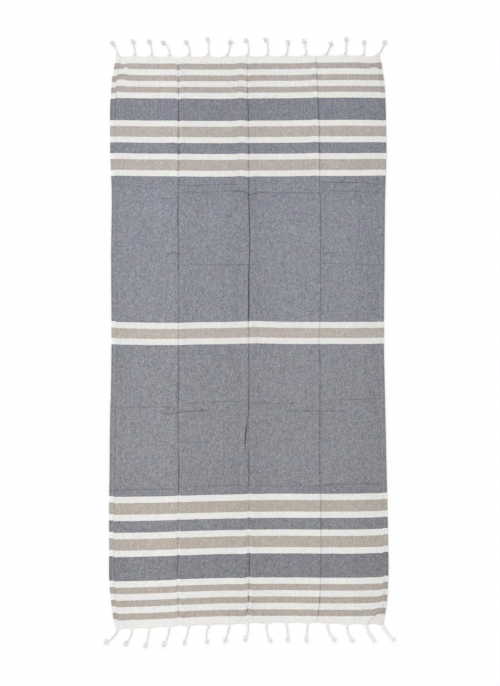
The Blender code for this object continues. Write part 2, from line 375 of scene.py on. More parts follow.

# Creases that run across the towel, in mm: place across, place along, rise beside the line; where
# the line's painted shade doesn't follow its rise, a fourth column gives how dark it is
UPPER_PAIR_OUTER = (
    (-228, 513, 0.0),
    (-215, 513, 0.8),
    (-130, 515, 0.9),
    (-60, 518, 1.0),
    (-42, 517, 1.2),
    (-25, 513, 0.0),
    (225, 521, 0.0),
    (240, 521, 1.0),
    (300, 521, 1.2),
    (359, 521, 0.9),
    (435, 513, 0.7),
    (448, 512, 0.5),
)
UPPER_PAIR_INNER = (
    (-236, 488, 0.0, 0.00),
    (-215, 490, 0.9, 0.40),
    (-130, 492, 1.2, 0.50),
    (-60, 495, 1.1, 0.40),
    (-40, 495, 1.1, 1.10),
    (-2, 488, 1.5, 1.50),
    (8, 482, 1.5, 1.30),
    (22, 486, 1.6, 1.40),
    (40, 490, 1.8, 1.00),
    (73, 488, 1.8, 0.70),
    (226, 487, 1.3, 0.55),
    (262, 494, 1.3, 0.55),
    (350, 492, 1.2, 0.50),
    (435, 488, 1.0, 0.42),
    (448, 488, 0.8, 0.34),
)
LEFT_MARK = ((-292, 470, 0.0), (-280, 470, 0.9), (-234, 470, 0.9), (-226, 470, 0.0))
UPPER_SECOND = (
    (-272, 292, 0.0),
    (-262, 292, 0.9),
    (-232, 292, 0.9),
    (-224, 292, 0.0),
    (222, 292, 0.0),
    (232, 292, 0.8),
    (288, 292, 0.6),
    (300, 292, 0.0),
)
UPPER_THIRD = (
    (-228, 255, 0.0),
    (-215, 255, 0.9),
    (-100, 254, 1.1),
    (0, 252, 1.4),
    (10, 252, 0.5),
    (100, 252, 0.3),
    (226, 253, 0.3),
    (262, 258, 1.1),
    (350, 255, 1.0),
    (435, 251, 1.2),
    (448, 251, 1.0),
)
MIDDLE_MARK = ((0, 338, 0.0), (8, 338, 0.9), (46, 338, 0.8), (56, 338, 0.0))
LOWER_MARK = ((22, 107, 0.0), (33, 107, 0.8), (79, 107, 0.8), (92, 107, 0.0))
MIDDLE_LINE = ((-448, 38, 0.5), (0, 38, 0.4), (448, 38, 0.5))
LOWER_FIRST = (
    (-448, -207, 0.9),
    (-232, -207, 0.9),
    (-224, -204, 0.4),
    (-180, -195, 1.1),
    (-26, -193, 1.0),
    (8, -199, 1.1),
    (123, -201, 1.3),
    (200, -199, 0.3),
    (288, -190, 1.0),
    (435, -186, 1.1),
    (448, -186, 1.0),
)
LOWER_SECOND = (
    (-290, -229, 0.0),
    (-277, -229, 0.7),
    (-234, -228, 0.7),
    (-225, -225, 1.4),
    (-137, -221, 1.5),
    (-122, -221, 0.0),
    (120, -225, 0.0),
    (138, -225, 0.8),
    (226, -225, 0.8),
    (314, -225, 0.7),
    (328, -225, 0.0),
)
LOWER_THIRD = (
    (-448, -474, 1.0),
    (-257, -474, 1.6),
    (-226, -471, 0.4),
    (-215, -468, 1.1),
    (-29, -468, 1.0),
    (0, -470, 0.5),
    (20, -471, 0.7),
    (226, -471, 0.7),
    (239, -467, 1.6),
    (300, -465, 1.9),
    (370, -465, 1.5),
    (448, -465, 0.7),
)

# Slow waves of the cloth between its creases: height in mm, waves per metre across and along, start
WAVES = (
    (0.26, 4.3, 2.1, 0.4),
    (0.20, -2.7, 5.2, 2.0),
    (0.15, 7.9, -3.6, 4.1),
    (0.11, 3.2, 9.7, 5.3),
)
# Each wave's mean is raised off the floor by this share of its height
WAVE_BASE = 0.7

# Tassels, in mm: place of the root across, how far the knot's middle lies past the edge, how far it
# lies to +X of its root, how far the cord bows to +X; then the knot's turn in degrees, the side its
# end comes out on, its width against the usual, and the cord's girth against the usual
UPPER_TASSELS = (
    (-442.4, 43.7, -19.5, 2.5, 24, -1, 1.05, 1.00),
    (-382.4, 49.9, -7.7, 0.7, 14, -1, 0.90, 1.00),
    (-322.4, 49.9, -9.3, 2.4, 34, -1, 1.00, 0.95),
    (-259.4, 47.6, -21.1, 7.0, -10, -1, 0.95, 1.00),
    (-193.4, 48.4, -8.7, 6.0, 4, -1, 0.95, 1.00),
    (-131.4, 58.4, -1.8, 3.6, 6, -1, 0.68, 1.00),
    (-69.4, 49.8, 12.2, 1.7, -8, -1, 1.00, 1.05),
    (-4.4, 53.4, -3.1, 7.2, 26, -1, 1.05, 1.05),
    (62.6, 54.9, -5.4, 4.7, 16, -1, 0.80, 1.05),
    (123.6, 47.0, 6.0, 2.2, -6, 1, 0.90, 1.10),
    (190.6, 49.6, -7.7, 0.8, 12, -1, 0.85, 1.05),
    (254.6, 40.7, 17.8, 1.3, 18, 1, 0.95, 1.15),
    (323.6, 52.4, 4.0, 2.2, 0, 1, 1.05, 1.10),
    (389.6, 46.0, 2.0, 1.6, -16, 1, 0.95, 1.10),
    (439.6, 43.6, 23.5, 2.9, -22, 1, 0.95, 1.15),
)
LOWER_TASSELS = (
    (-440.5, 41.6, -39.6, 5.3, 26, -1, 1.00, 1.10),
    (-391.5, 49.2, -21.0, 5.6, 12, -1, 1.00, 1.00),
    (-331.5, 57.2, -13.1, 3.1, -14, -1, 0.95, 1.00),
    (-261.5, 57.9, -17.4, 5.2, 10, -1, 0.92, 1.05),
    (-194.5, 54.8, -14.8, 2.6, -4, -1, 0.70, 0.95),
    (-126.5, 53.2, -8.6, -5.7, -24, -1, 0.88, 0.95),
    (-62.5, 52.1, -14.1, 2.7, 8, -1, 1.00, 1.15),
    (-3.5, 51.4, -6.9, 5.2, 18, -1, 0.75, 1.15),
    (59.5, 55.3, 12.0, -4.2, -12, -1, 0.95, 0.95),
    (123.5, 54.6, 4.8, 1.8, -18, -1, 1.00, 1.25),
    (193.5, 54.9, -4.3, 0.1, 6, -1, 1.02, 1.25),
    (258.5, 51.3, 23.1, -6.1, 20, 1, 0.92, 1.30),
    (324.5, 51.7, 17.9, -4.9, 30, 1, 0.92, 1.30),
    (388.5, 49.4, 25.1, -3.2, -8, 1, 0.95, 1.55),
    (442.5, 45.6, 35.2, -2.1, 22, 1, 1.05, 1.70),
)
# Seeds of the chance in the tassels of the upper end, which point to +Y, and of the lower end
FRINGE_SEEDS = {1: 15, -1: 51}

# Camera: straight above the towel, with the frame's middle and height on the floor
PHOTO_MIDDLE = (0.0013, -0.0016)
PHOTO_HEIGHT = 2.241
SENSOR_WIDTH = 36.0
# The way the key light shines, and the even light's slightly cool white
KEY_DIRECTION = (0.50, -0.62, -1.0)
FILL_COLOUR = (0.985, 0.99, 1.0, 1.0)
# The floor's side, and how far it lies under the towel
FLOOR_SIZE = 90.0
FLOOR_GAP = 0.0002


# ---------------------------------------------------------------- properties


def length_property(name, description, default):
    """A size in metres."""
    return FloatProperty(
        name=name,
        description=description,
        default=default,
        min=0.0,
        max=1.0,
        precision=5,
        subtype="DISTANCE",
        unit="LENGTH",
    )


def dye_property(name, description, default):
    """A colour in linear light."""
    return FloatVectorProperty(
        name=name,
        description=description,
        default=default,
        size=3,
        min=0.0,
        max=1.0,
        subtype="COLOR",
    )


class TowelClothSettings(bpy.types.PropertyGroup):
    """Sizes and dyes of the woven cloth."""

    thickness: length_property("Thickness", "Thickness of the single cloth", 0.0012)
    hem_thickness: length_property("Hem Thickness", "Thickness of the folded side hems", 0.0025)
    hem_width: length_property("Hem Width", "Width of the side hems", 0.0150)
    yarn_pitch: length_property("Yarn Pitch", "Distance from one yarn to the next", 0.0009)
    crease_depth: FloatProperty(
        name="Crease Depth",
        description="How strongly the storage creases stand out",
        default=1.0,
        min=0.0,
        max=2.0,
        subtype="FACTOR",
    )
    white: dye_property("White Yarn", "Undyed yarn of warp and white bands", (0.787, 0.784, 0.756))
    beige: dye_property("Beige Yarn", "Weft yarn of the beige bands", (0.328, 0.270, 0.217))
    navy: dye_property("Navy Yarn", "Weft yarn of the navy bands", (0.062, 0.069, 0.107))


class TowelFringeSettings(bpy.types.PropertyGroup):
    """Sizes and dye of the tassels."""

    cord_diameter: length_property("Cord Diameter", "Diameter of a twisted cord", 0.0053)
    knot_cord_diameter: length_property(
        "Knot Cord Diameter", "Diameter of the cord inside its knot", 0.0047
    )
    twist_length: length_property("Twist Length", "Length of one full turn of the plies", 0.0115)
    knot_width: length_property("Knot Width", "Width of a knot across its loops", 0.0158)
    tail_length: length_property("Tail Length", "Length of the cord's end past its knot", 0.0034)
    root_width: length_property("Root Width", "Width of cloth gathered into one cord", 0.0120)
    white: dye_property("Tassel Yarn", "Undyed yarn of the tassels", (0.900, 0.900, 0.892))
    root_yarns: IntProperty(
        name="Root Yarns",
        description="Warp ends shown where a cord leaves the cloth",
        default=13,
        min=3,
        max=30,
    )


class TowelStitchSettings(bpy.types.PropertyGroup):
    """Sizes of the lockstitch that holds the side hems."""

    pitch: length_property("Stitch Pitch", "Distance from one stitch to the next", 0.0036)
    length: length_property("Stitch Length", "Length of thread that shows in one stitch", 0.0029)
    thread: length_property("Thread Diameter", "Diameter of the sewing thread", 0.00065)
    inset: length_property("Inset", "Distance of the seam from the towel's side", SEAM_INSET)


class TowelStudioSettings(bpy.types.PropertyGroup):
    """Floor, lights and camera."""

    lens: FloatProperty(
        name="Lens", description="Focal length of the camera", default=85.0, min=10.0, unit="CAMERA"
    )
    key_strength: FloatProperty(
        name="Key Strength", description="Strength of the soft key light", default=1.35, min=0.0
    )
    fill_strength: FloatProperty(
        name="Fill Strength", description="Strength of the even light", default=0.730, min=0.0
    )
    key_softness: FloatProperty(
        name="Key Softness",
        description="How wide the key light looks from the towel",
        default=math.radians(70),
        min=0.0,
        max=math.pi,
        subtype="ANGLE",
        unit="ROTATION",
    )
    floor: dye_property("Floor", "Colour of the pale floor", (0.945, 0.942, 0.940))


class TowelSettings(bpy.types.PropertyGroup):
    """Everything that a user of the towel would change."""

    cloth: PointerProperty(
        type=TowelClothSettings, name="Cloth", description="Sizes and dyes of the cloth"
    )
    fringe: PointerProperty(
        type=TowelFringeSettings, name="Fringe", description="Sizes and dye of the tassels"
    )
    stitch: PointerProperty(
        type=TowelStitchSettings, name="Stitching", description="Sizes of the hem stitching"
    )
    studio: PointerProperty(
        type=TowelStudioSettings, name="Studio", description="Floor, lights and camera"
    )


# ---------------------------------------------------------------- curves and places


def cubic(values, slopes, index, step, share):
    """Values a share of the step past the index, on the curve with these values and slopes."""
    start = values[index] * (1 + 2 * share) + slopes[index] * step * share
    end = values[index + 1] * (3 - 2 * share) - slopes[index + 1] * step * (1 - share)
    return start * (1 - share) ** 2 + end * share**2


def smooth_curve(places, stations, values):
    """Values on a curve through the stations that never swings past them, level beyond its ends."""
    order = np.argsort(stations)
    stations = np.asarray(stations, float)[order]
    values = np.asarray(values, float)[order]
    steps = np.diff(stations)
    rises = np.diff(values) / steps
    before = rises[:-1]
    after = rises[1:]
    same_way = before * after > 0
    slopes = np.concatenate([rises[:1], np.zeros(len(stations) - 2), rises[-1:]])
    slopes[1:-1][same_way] = 2 * before[same_way] * after[same_way] / (before + after)[same_way]
    places = np.clip(places, stations[0], stations[-1])
    index = np.clip(np.searchsorted(stations, places, side="right") - 1, 0, len(stations) - 2)
    share = (places - stations[index]) / steps[index]
    return cubic(values, slopes, index, steps[index], share)


def table_curve(places, table, column):
    """One column of a table in mm, on a smooth curve over its first column, in metres."""
    stations = [row[0] for row in table]
    values = [row[column] for row in table]
    return MM * smooth_curve(np.asarray(places) / MM, stations, values)


def ease(value):
    """0 below 0, 1 above 1 and a soft step between."""
    value = np.clip(value, 0.0, 1.0)
    return value * value * (3 - 2 * value)


def to_end(along):
    """Distance from the nearer woven end."""
    return np.minimum(WOVEN_UPPER - along, along - WOVEN_LOWER)


def to_side(across):
    """Distance from the nearer long side."""
    return CLOTH_WIDTH / 2 - np.abs(across)


def side_draw(across, along):
    """How far a point moves towards the middle because its side is drawn in there."""
    share = np.clip((np.abs(across) - DRAWN_FROM) / (CLOTH_WIDTH / 2 - DRAWN_FROM), 0.0, None)
    left = table_curve(along, SIDE_DRAW, 1)
    right = table_curve(along, SIDE_DRAW, 2)
    return share * np.where(np.asarray(across) < 0, left, -right)


def weft_drift(across, along):
    """How far the weft has moved towards the upper end."""
    across, along = np.broadcast_arrays(np.asarray(across, float), np.asarray(along, float))
    lines = MM * np.array(DRIFT_LINES[::-1])
    drift = np.zeros(across.shape)
    for index, near_line in enumerate(np.eye(len(lines))):
        line_drift = table_curve(across, WEFT_DRIFT, len(lines) - index)
        drift += np.interp(along, lines, near_line) * line_drift
    for place, half_width, upper, lower in WEFT_DIPS:
        near = np.exp(-(((across - place * MM) / (half_width * MM)) ** 2))
        pull = np.where(along > 0, upper * along / UPPER_EDGE, lower * along / LOWER_EDGE)
        drift += MM * pull * near
    return drift


def scallop(across, tassels):
    """How far the woven edge is drawn back between two tassels."""
    roots = np.array([row[0] for row in tassels]) * MM
    across = np.asarray(across, float)
    after = np.clip(np.searchsorted(roots, across), 1, len(roots) - 1)
    share = (across - roots[after - 1]) / (roots[after] - roots[after - 1])
    return SCALLOP_DEPTH * np.sin(math.pi * np.clip(share, 0.0, 1.0)) ** 2


def lie(across, along):
    """x and y where a place of the cloth lies."""
    x = CLOTH_MIDDLE_X + across + side_draw(across, along)
    y = along + weft_drift(across, along)
    upper = ease(1 - (WOVEN_UPPER - along) / SCALLOP_REACH) * scallop(across, UPPER_TASSELS)
    lower = ease(1 - (along - WOVEN_LOWER) / SCALLOP_REACH) * scallop(across, LOWER_TASSELS)
    return x, y - upper + lower


def pattern_place(along):
    """Distance from the stripes' middle, as the weaver counts it, for a place along the towel."""
    distance = along - PATTERN_MIDDLE
    return (1 - np.sqrt(1 - 4 * BEAT_CHANGE * distance)) / (2 * BEAT_CHANGE)


def hem_lag(across, along, hem_width):
    """How far the stripe pattern in a side hem lags towards the middle of the towel."""
    lag = np.where(across < 0, table_curve(along, HEM_LAG, 1), table_curve(along, HEM_LAG, 2))
    share = ease((hem_width + LAG_PAST_HEM - to_side(across)) / LAG_FADE)
    return lag * share * np.where(along > 0, 1, -1)


def pucker(across, along):
    """How far the weft is pulled towards the upper end beside the hems."""
    pull = 0.0
    for place_across, place_along, half_width, half_length, amount in WEFT_PUCKERS:
        aside = (across / MM - place_across) / half_width
        ahead = (along / MM - place_along) / half_length
        pull = pull + amount * MM * np.exp(-(aside**2) - ahead**2)
    return pull


def hem_share(across, hem_width):
    """1 in the side hems, 0 in the single cloth, with a soft step between."""
    return ease((hem_width + HEM_STEP - to_side(across)) / HEM_STEP)


def seam_line(across):
    """1 on the seam of a side hem, fading to 0 beside it."""
    return np.exp(-(((to_side(across) - SEAM_INSET) / SEAM_SPREAD) ** 2))


def tone(across, pattern, hem_width):
    """Painted light falloff across the cloth and to its ends, and the hems' greying, whatever the
    yarn.
    """
    panel = smooth_curve(across / MM, *zip(*PAINTED_FALLOFF_ACROSS))
    end = ease((np.abs(pattern) - END_FALLOFF_FROM) / (END_FALLOFF_TO - END_FALLOFF_FROM))
    hem_end = ease((np.abs(pattern) - HEM_GREY_FROM) / (HEM_GREY_TO - HEM_GREY_FROM))
    grey = HEM_GREY * hem_end * hem_share(across, hem_width)
    return panel * (1 + (PAINTED_END_FALLOFF - 1) * end) * (1 - grey)


# ---------------------------------------------------------------- creases


class Crease:
    """A line pressed into the cloth: a trough between two soft shoulders, or one soft ridge, with a
    painted shade line.
    """

    # How much its strength wavers along it, over which two lengths, and the first wave's start
    WAVER = 0.16
    WAVER_LENGTHS = (0.0113, 0.031)
    WAVER_START = 3.0
    # Share of the reach in which the shoulders don't fall yet
    LEVEL_SHARE = 0.2
    # A trough's painted dark line is about as wide as it is sharp; a ridge's painted shade lies
    # beside it
    TROUGH_SHADE_WIDTH = 1.05
    RIDGE_SHADE_WIDTH = 2.0 * MM
    RIDGE_SHADE_ASIDE = 2.4 * MM
    SLOPE_STEP = 0.0005

    def __init__(
        self, rows, lengthwise, sharpness, reach, ridge=False, offsets=(), dark_per_mm=0.22
    ):
        run, beside, rise, *dark = zip(*rows)
        self.run = np.array(run) * MM
        self.beside = np.array(beside) * MM
        self.rise = np.array(rise) * MM
        # How dark the painted shade along the line is
        self.dark = np.array(dark[0]) if dark else np.array(rise) * dark_per_mm
        self.lengthwise = lengthwise
        self.sharpness = sharpness * MM
        self.reach = reach * MM
        self.ridge = ridge
        # The mesh has lines at these distances beside the crease
        self.offsets = np.array(offsets) * MM

    def line(self, run):
        """Where the crease lies, at places along its run."""
        return smooth_curve(run, self.run, self.beside)

    def middle(self):
        """Where it lies on average."""
        return float(np.mean(self.line(np.linspace(self.run.min(), self.run.max(), 40))))

    def wavering(self, run, values):
        """Values on a smooth curve that wavers a little along the crease."""
        first, second = self.WAVER_LENGTHS
        waver = 1 + self.WAVER * np.sin(run / first + self.WAVER_START) * np.sin(run / second)
        return smooth_curve(run, self.run, values) * waver

    def run_and_beside(self, across, along):
        """A place's two distances, the one along the crease first."""
        return (along, across) if self.lengthwise else (across, along)

    def distance(self, run, beside):
        """Distance from the crease's line, measured square to it."""
        step = self.SLOPE_STEP
        slope = (self.line(run + step) - self.line(run - step)) / (2 * step)
        return (beside - self.line(run)) / np.sqrt(1 + slope**2)

    def lift(self, across, along):
        """How far the crease holds the cloth off the floor."""
        run, beside = self.run_and_beside(across, along)
        distance = np.abs(self.distance(run, beside))
        level = self.LEVEL_SHARE * self.reach
        past_level = np.clip((distance - level) / (self.reach - level), 0.0, 1.0)
        fall = 0.5 + 0.5 * np.cos(math.pi * past_level)
        steep = self.sharpness / (distance + self.sharpness)
        return self.wavering(run, self.rise) * fall * (steep if self.ridge else 1 - steep)

    def shade(self, across, along):
        """How dark the painted shade along the crease is, in its trough or on the far side of its
        ridge.
        """
        run, beside = self.run_and_beside(across, along)
        aside = self.RIDGE_SHADE_ASIDE if self.ridge else 0.0
        width = self.RIDGE_SHADE_WIDTH if self.ridge else self.TROUGH_SHADE_WIDTH * self.sharpness
        distance = self.distance(run, beside) - aside
        return self.wavering(run, self.dark) * np.exp(-((distance / width) ** 2))


# Distances from a crease to the mesh's lines beside it, in mm
FINE = (0, 0.8, 1.8, 3.2, 5.2, 8, 10, 12, 14, 17, 24, 32)
BRIEF = (0, 0.8, 1.8, 3.2, 5.4, 9)
SPARSE = (0, 1.0, 2.6, 5.4)

# Each crease: its table, whether it runs along the towel, its sharpness and its reach in mm
CREASES = (
    Crease(LEFT_FOLD, True, 1.7, 32, offsets=FINE),
    Crease(MIDDLE_FOLD, True, 1.7, 34, offsets=FINE),
    Crease(RIGHT_FOLD, True, 3.6, 32, ridge=True, offsets=FINE),
    Crease(MIDDLE_BRANCH, True, 1.8, 12),
    Crease(RIGHT_WRINKLE, True, 1.8, 14, offsets=BRIEF),
    Crease(PAIR_LINK, True, 1.8, 12),
    Crease(UPPER_PLEAT, True, 2.0, 13),
    Crease(LOWER_PLEAT, True, 2.2, 14),
    Crease(UPPER_PAIR_OUTER, False, 1.3, 22, offsets=BRIEF, dark_per_mm=0.80),
    Crease(UPPER_PAIR_INNER, False, 1.3, 24, offsets=BRIEF),
    Crease(LEFT_MARK, False, 1.2, 14, offsets=SPARSE, dark_per_mm=0.60),
    Crease(UPPER_SECOND, False, 1.2, 16, offsets=SPARSE, dark_per_mm=0.90),
    Crease(UPPER_THIRD, False, 1.3, 26, offsets=BRIEF, dark_per_mm=0.45),
    Crease(MIDDLE_MARK, False, 1.2, 12, offsets=SPARSE),
    Crease(LOWER_MARK, False, 1.2, 12, offsets=SPARSE),
    Crease(MIDDLE_LINE, False, 1.2, 20, offsets=SPARSE),
    Crease(LOWER_FIRST, False, 1.3, 24, offsets=BRIEF, dark_per_mm=0.50),
    Crease(LOWER_SECOND, False, 1.3, 20, offsets=BRIEF, dark_per_mm=0.95),
    Crease(LOWER_THIRD, False, 1.3, 26, offsets=BRIEF, dark_per_mm=0.45),
)


def total_shade(across, along, ridges):
    """How dark the painted shade lines of all ridges are together, or those of all troughs."""
    return sum(crease.shade(across, along) for crease in CREASES if crease.ridge == ridges)


# ---------------------------------------------------------------- height and thickness


def lift(across, along, depth):
    """How far the cloth's underside is off the floor."""
    height = sum(crease.lift(across, along) for crease in CREASES) * depth
    for size, per_across, per_along, start in WAVES:
        wave = np.sin(2 * math.pi * (per_across * across + per_along * along) + start)
        height = height + MM * size * (WAVE_BASE + wave)
    fade = END_FADE_FLOOR + (1 - END_FADE_FLOOR) * ease(to_end(along) / END_FADE)
    return np.maximum(height, 0.0) * fade


def rounding(distance, radius):
    """Half a round edge: 0 at the edge, 1 past the radius."""
    return np.sqrt(1 - (1 - np.clip(distance / radius, 0.0, 1.0)) ** 2)


def full_thickness(across, cloth):
    """The cloth's thickness away from its seams and its rim."""
    folded_over = cloth.hem_thickness - cloth.thickness
    return cloth.thickness + folded_over * hem_share(across, cloth.hem_width)


def thickness(across, along, cloth):
    """The cloth's thickness with the seams sunk into it and its rim rounded off."""
    thick = full_thickness(across, cloth) - SEAM_SINK * seam_line(across)
    return thick * rounding(to_side(across), SIDE_ROUNDING) * rounding(to_end(along), END_ROUNDING)


def cloth_faces(across, along, cloth):
    """Points on the cloth's upper face and on its underside."""
    x, y = lie(across, along)
    middle = lift(across, along, cloth.crease_depth) + full_thickness(across, cloth) / 2
    half = thickness(across, along, cloth) / 2
    return np.stack([x, y, middle + half], axis=-1), np.stack([x, y, middle - half], axis=-1)


# ---------------------------------------------------------------- the cloth's mesh


# Distances from the long sides and from the woven ends to the mesh's lines beside them, in mm
HEM_LINES = (
    *(0, 0.15, 0.5, 1.2, 3, 6, 8.5, 10.3, 11.2, 12.1, 13.5, 15),
    *(16, 17, 19.5, 23, 27, 31, 35, 39, 43, 47, 51, 56),
)
END_LINES = (
    *(0, 0.12, 0.4, 0.9, 2.5, 5, 9, 13.5, 18, 22.5, 27),
    *(31.5, 36, 40.5, 45, 49.5, 54, 60, 66, 72, 78),
)
# Lines nearer than the first of these are joined; the second keeps the cloth under 200,000
# triangles
NARROWEST_GAP = 0.00025
WIDEST_GAP = 0.0105
# A gap this share past a whole number of the widest ones isn't divided once more
GAP_SLACK = 0.01


def with_fill(stations):
    """The stations in order without near repeats, with even ones between those too far apart."""
    kept = []
    for station in sorted(stations):
        if not kept or station - kept[-1] > NARROWEST_GAP:
            kept.append(station)
    found = []
    for start, end in zip(kept, kept[1:]):
        count = max(1, math.ceil((end - start) / WIDEST_GAP - GAP_SLACK))
        found += [start + (end - start) * step / count for step in range(count)]
    return np.array(found + [kept[-1]])


def grid_lines(low, high, edge_offsets, creases):
    """The grid's lines from edge to edge, close together at both edges and at each crease."""
    stations = [low + offset * MM for offset in edge_offsets]
    stations += [high - offset * MM for offset in edge_offsets]
    for crease in creases:
        for offset in crease.offsets:
            stations += [crease.middle() + offset, crease.middle() - offset]
    return with_fill(stations)


def bend_shares(stations, creases, low, high):
    """How much each station follows each crease: 1 at the crease and 0 at its neighbours."""
    knots = [low, *(crease.middle() for crease in creases), high]
    return [np.interp(stations, knots, row) for row in np.eye(len(knots))[1:-1]]


def bent_grid():
    """Across and along of each point of the grid, whose lines follow the creases."""
    side = CLOTH_WIDTH / 2
    led = [crease for crease in CREASES if len(crease.offsets)]
    lengthwise = sorted((crease for crease in led if crease.lengthwise), key=Crease.middle)
    crosswise = sorted((crease for crease in led if not crease.lengthwise), key=Crease.middle)
    across = grid_lines(-side, side, HEM_LINES, lengthwise)
    along = grid_lines(WOVEN_LOWER, WOVEN_UPPER, END_LINES, crosswise)
    bent_across = np.tile(across, (len(along), 1))
    for crease, share in zip(lengthwise, bend_shares(across, lengthwise, -side, side)):
        bent_across += share[None, :] * (crease.line(along) - crease.middle())[:, None]
    bent_along = np.tile(along[:, None], (1, len(across)))
    for crease, share in zip(crosswise, bend_shares(along, crosswise, WOVEN_LOWER, WOVEN_UPPER)):
        bent_along += share[:, None] * (crease.line(bent_across) - crease.middle())
    return bent_across, bent_along


def both_sides(values):
    """Values for each point of the top, then of the underside, which shares the top's rim."""
    shape = (-1, *values.shape[2:])
    return np.concatenate([values.reshape(shape), values[1:-1, 1:-1].reshape(shape)])


def two_sided_faces(rows, columns):
    """Quads of a top and of an underside that share their rim."""
    top = np.arange(rows * columns).reshape(rows, columns)
    under = top.copy()
    under[1:-1, 1:-1] = rows * columns + np.arange((rows - 2) * (columns - 2)).reshape(rows - 2, -1)

    def quads(index):
        corners = (index[:-1, :-1], index[:-1, 1:], index[1:, 1:], index[1:, :-1])
        return np.stack([corner.ravel() for corner in corners], axis=1)

    return np.concatenate([quads(top), quads(under)[:, ::-1]])


def mesh_object(name, points, faces, material, uv_name, uv):
    """A smooth-shaded mesh object with one UV map, given for each corner of each face."""
    mesh = bpy.data.meshes.new(name)
    mesh.from_pydata(points.tolist(), [], [list(map(int, face)) for face in faces])
    layer = mesh.uv_layers.new(name=uv_name)
    layer.uv.foreach_set("vector", np.asarray(uv, np.float32).ravel())
    mesh.materials.append(material)
    mesh.shade_smooth()
    mesh.validate()
    piece = bpy.data.objects.new(name, mesh)
    bpy.context.scene.collection.objects.link(piece)
    return piece


def weave_cloth_mesh(cloth, material):
    """The cloth as one closed sheet whose top and underside meet in a rounded rim."""
    across, along = bent_grid()
    top, under = cloth_faces(across, along, cloth)
    points = np.concatenate([top.reshape(-1, 3), under[1:-1, 1:-1].reshape(-1, 3)])
    faces = two_sided_faces(*across.shape)
    pattern = pattern_place(along + hem_lag(across, along, cloth.hem_width) - pucker(across, along))
    weave = both_sides(np.stack([across, pattern], axis=-1))
    piece = mesh_object("woven_cloth", points, faces, material, "weave", weave[faces.ravel()])
    left = across < 0
    # Painted shade along creases, ridges and seams, painted light falloff and hem greying in the
    # tone, and the hems' shade
    masks = {
        "crease": total_shade(across, along, ridges=False),
        "ridge": total_shade(across, along, ridges=True),
        "tone": tone(across, pattern, cloth.hem_width),
        "hem": hem_share(across, cloth.hem_width) * np.where(left, *HEM_STRENGTH),
        "seam": seam_line(across) * np.where(left, *SEAM_PAINTED_SHADE),
    }
    for name, values in masks.items():
        attribute = piece.data.attributes.new(name, "FLOAT", "POINT")
        attribute.data.foreach_set("value", both_sides(values).astype(np.float32))
    return piece


# ---------------------------------------------------------------- yarns

UP = np.array([0.0, 0.0, 1.0])


def unit(vectors):
    """The vectors at length 1."""
    return vectors / np.maximum(np.linalg.norm(vectors, axis=-1, keepdims=True), 1e-12)


def quarter_turn(vector):
    """A level vector turned to point to its own right."""
    return np.array([vector[1], -vector[0], 0.0])


class YarnHeap:
    """Round yarns collected into one mesh, with a UV map that runs round and along each."""

    def __init__(self):
        self.points = []
        self.faces = []
        self.uvs = []
        self.count = 0

    def add(self, lines, radii, sides, outward=UP):
        """Adds closed tubes along lines[yarn, point], with a radius at each point.

        outward is where each section's first corner points.
        """
        lines = np.asarray(lines, float)
        yarns, stations, _ = lines.shape
        tangent = unit(np.gradient(lines, axis=1))
        outward = np.broadcast_to(np.asarray(outward, float), lines.shape)
        normal = unit(outward - np.sum(outward * tangent, axis=-1, keepdims=True) * tangent)
        beside = np.cross(tangent, normal)
        turn = 2 * math.pi * np.arange(sides) / sides
        spokes = normal[:, :, None] * np.cos(turn)[:, None]
        spokes = spokes + beside[:, :, None] * np.sin(turn)[:, None]
        radii = np.broadcast_to(radii, (yarns, stations))
        points = lines[:, :, None] + spokes * radii[:, :, None, None]
        index = self.count + np.arange(yarns * stations * sides).reshape(yarns, stations, sides)
        following = np.roll(index, -1, axis=2)
        corners = (index[:, :-1], following[:, :-1], following[:, 1:], index[:, 1:])
        quads = np.stack(corners, axis=-1)

        # The UV map: the share of the way round, and the distance along the yarn in metres
        steps = np.linalg.norm(np.diff(lines, axis=1), axis=-1)
        run = np.concatenate([np.zeros((yarns, 1)), np.cumsum(steps, axis=1)], axis=1)
        share = np.arange(sides + 1) / sides
        left = np.broadcast_to(share[:-1], quads.shape[:-1])
        right = np.broadcast_to(share[1:], quads.shape[:-1])
        near = np.broadcast_to(run[:, :-1, None], quads.shape[:-1])
        far = np.broadcast_to(run[:, 1:, None], quads.shape[:-1])
        uv = np.stack([left, near, right, near, right, far, left, far], axis=-1)

        self.points.append(points.reshape(-1, 3))
        self.faces += quads.reshape(-1, 4).tolist()
        self.uvs.append(uv.reshape(-1, 2))
        for yarn in range(yarns):
            self.faces.append(index[yarn, 0, ::-1].tolist())
            self.faces.append(index[yarn, -1].tolist())
            for place in (0.0, run[yarn, -1]):
                self.uvs.append(np.stack([share[:-1], np.full(sides, place)], axis=-1))
        self.count += yarns * stations * sides

    def build(self, name, material):
        """All yarns as one object."""
        points = np.concatenate(self.points)
        return mesh_object(name, points, self.faces, material, "yarn", np.concatenate(self.uvs))


def even_line(points, step):
    """The points joined by a smooth curve, with a point at each even step, and its run."""
    points = np.asarray(points, float)
    run = np.concatenate([[0.0], np.cumsum(np.linalg.norm(np.diff(points, axis=0), axis=1))])
    slopes = np.gradient(points, run, axis=0)
    count = max(2, round(run[-1] / step))
    places = np.linspace(0.0, run[-1], count + 1)
    index = np.clip(np.searchsorted(run, places, side="right") - 1, 0, len(run) - 2)
    span = (run[index + 1] - run[index])[:, None]
    share = (places - run[index])[:, None] / span
    return cubic(points, slopes, index, span, share), places


# ---------------------------------------------------------------- tassels


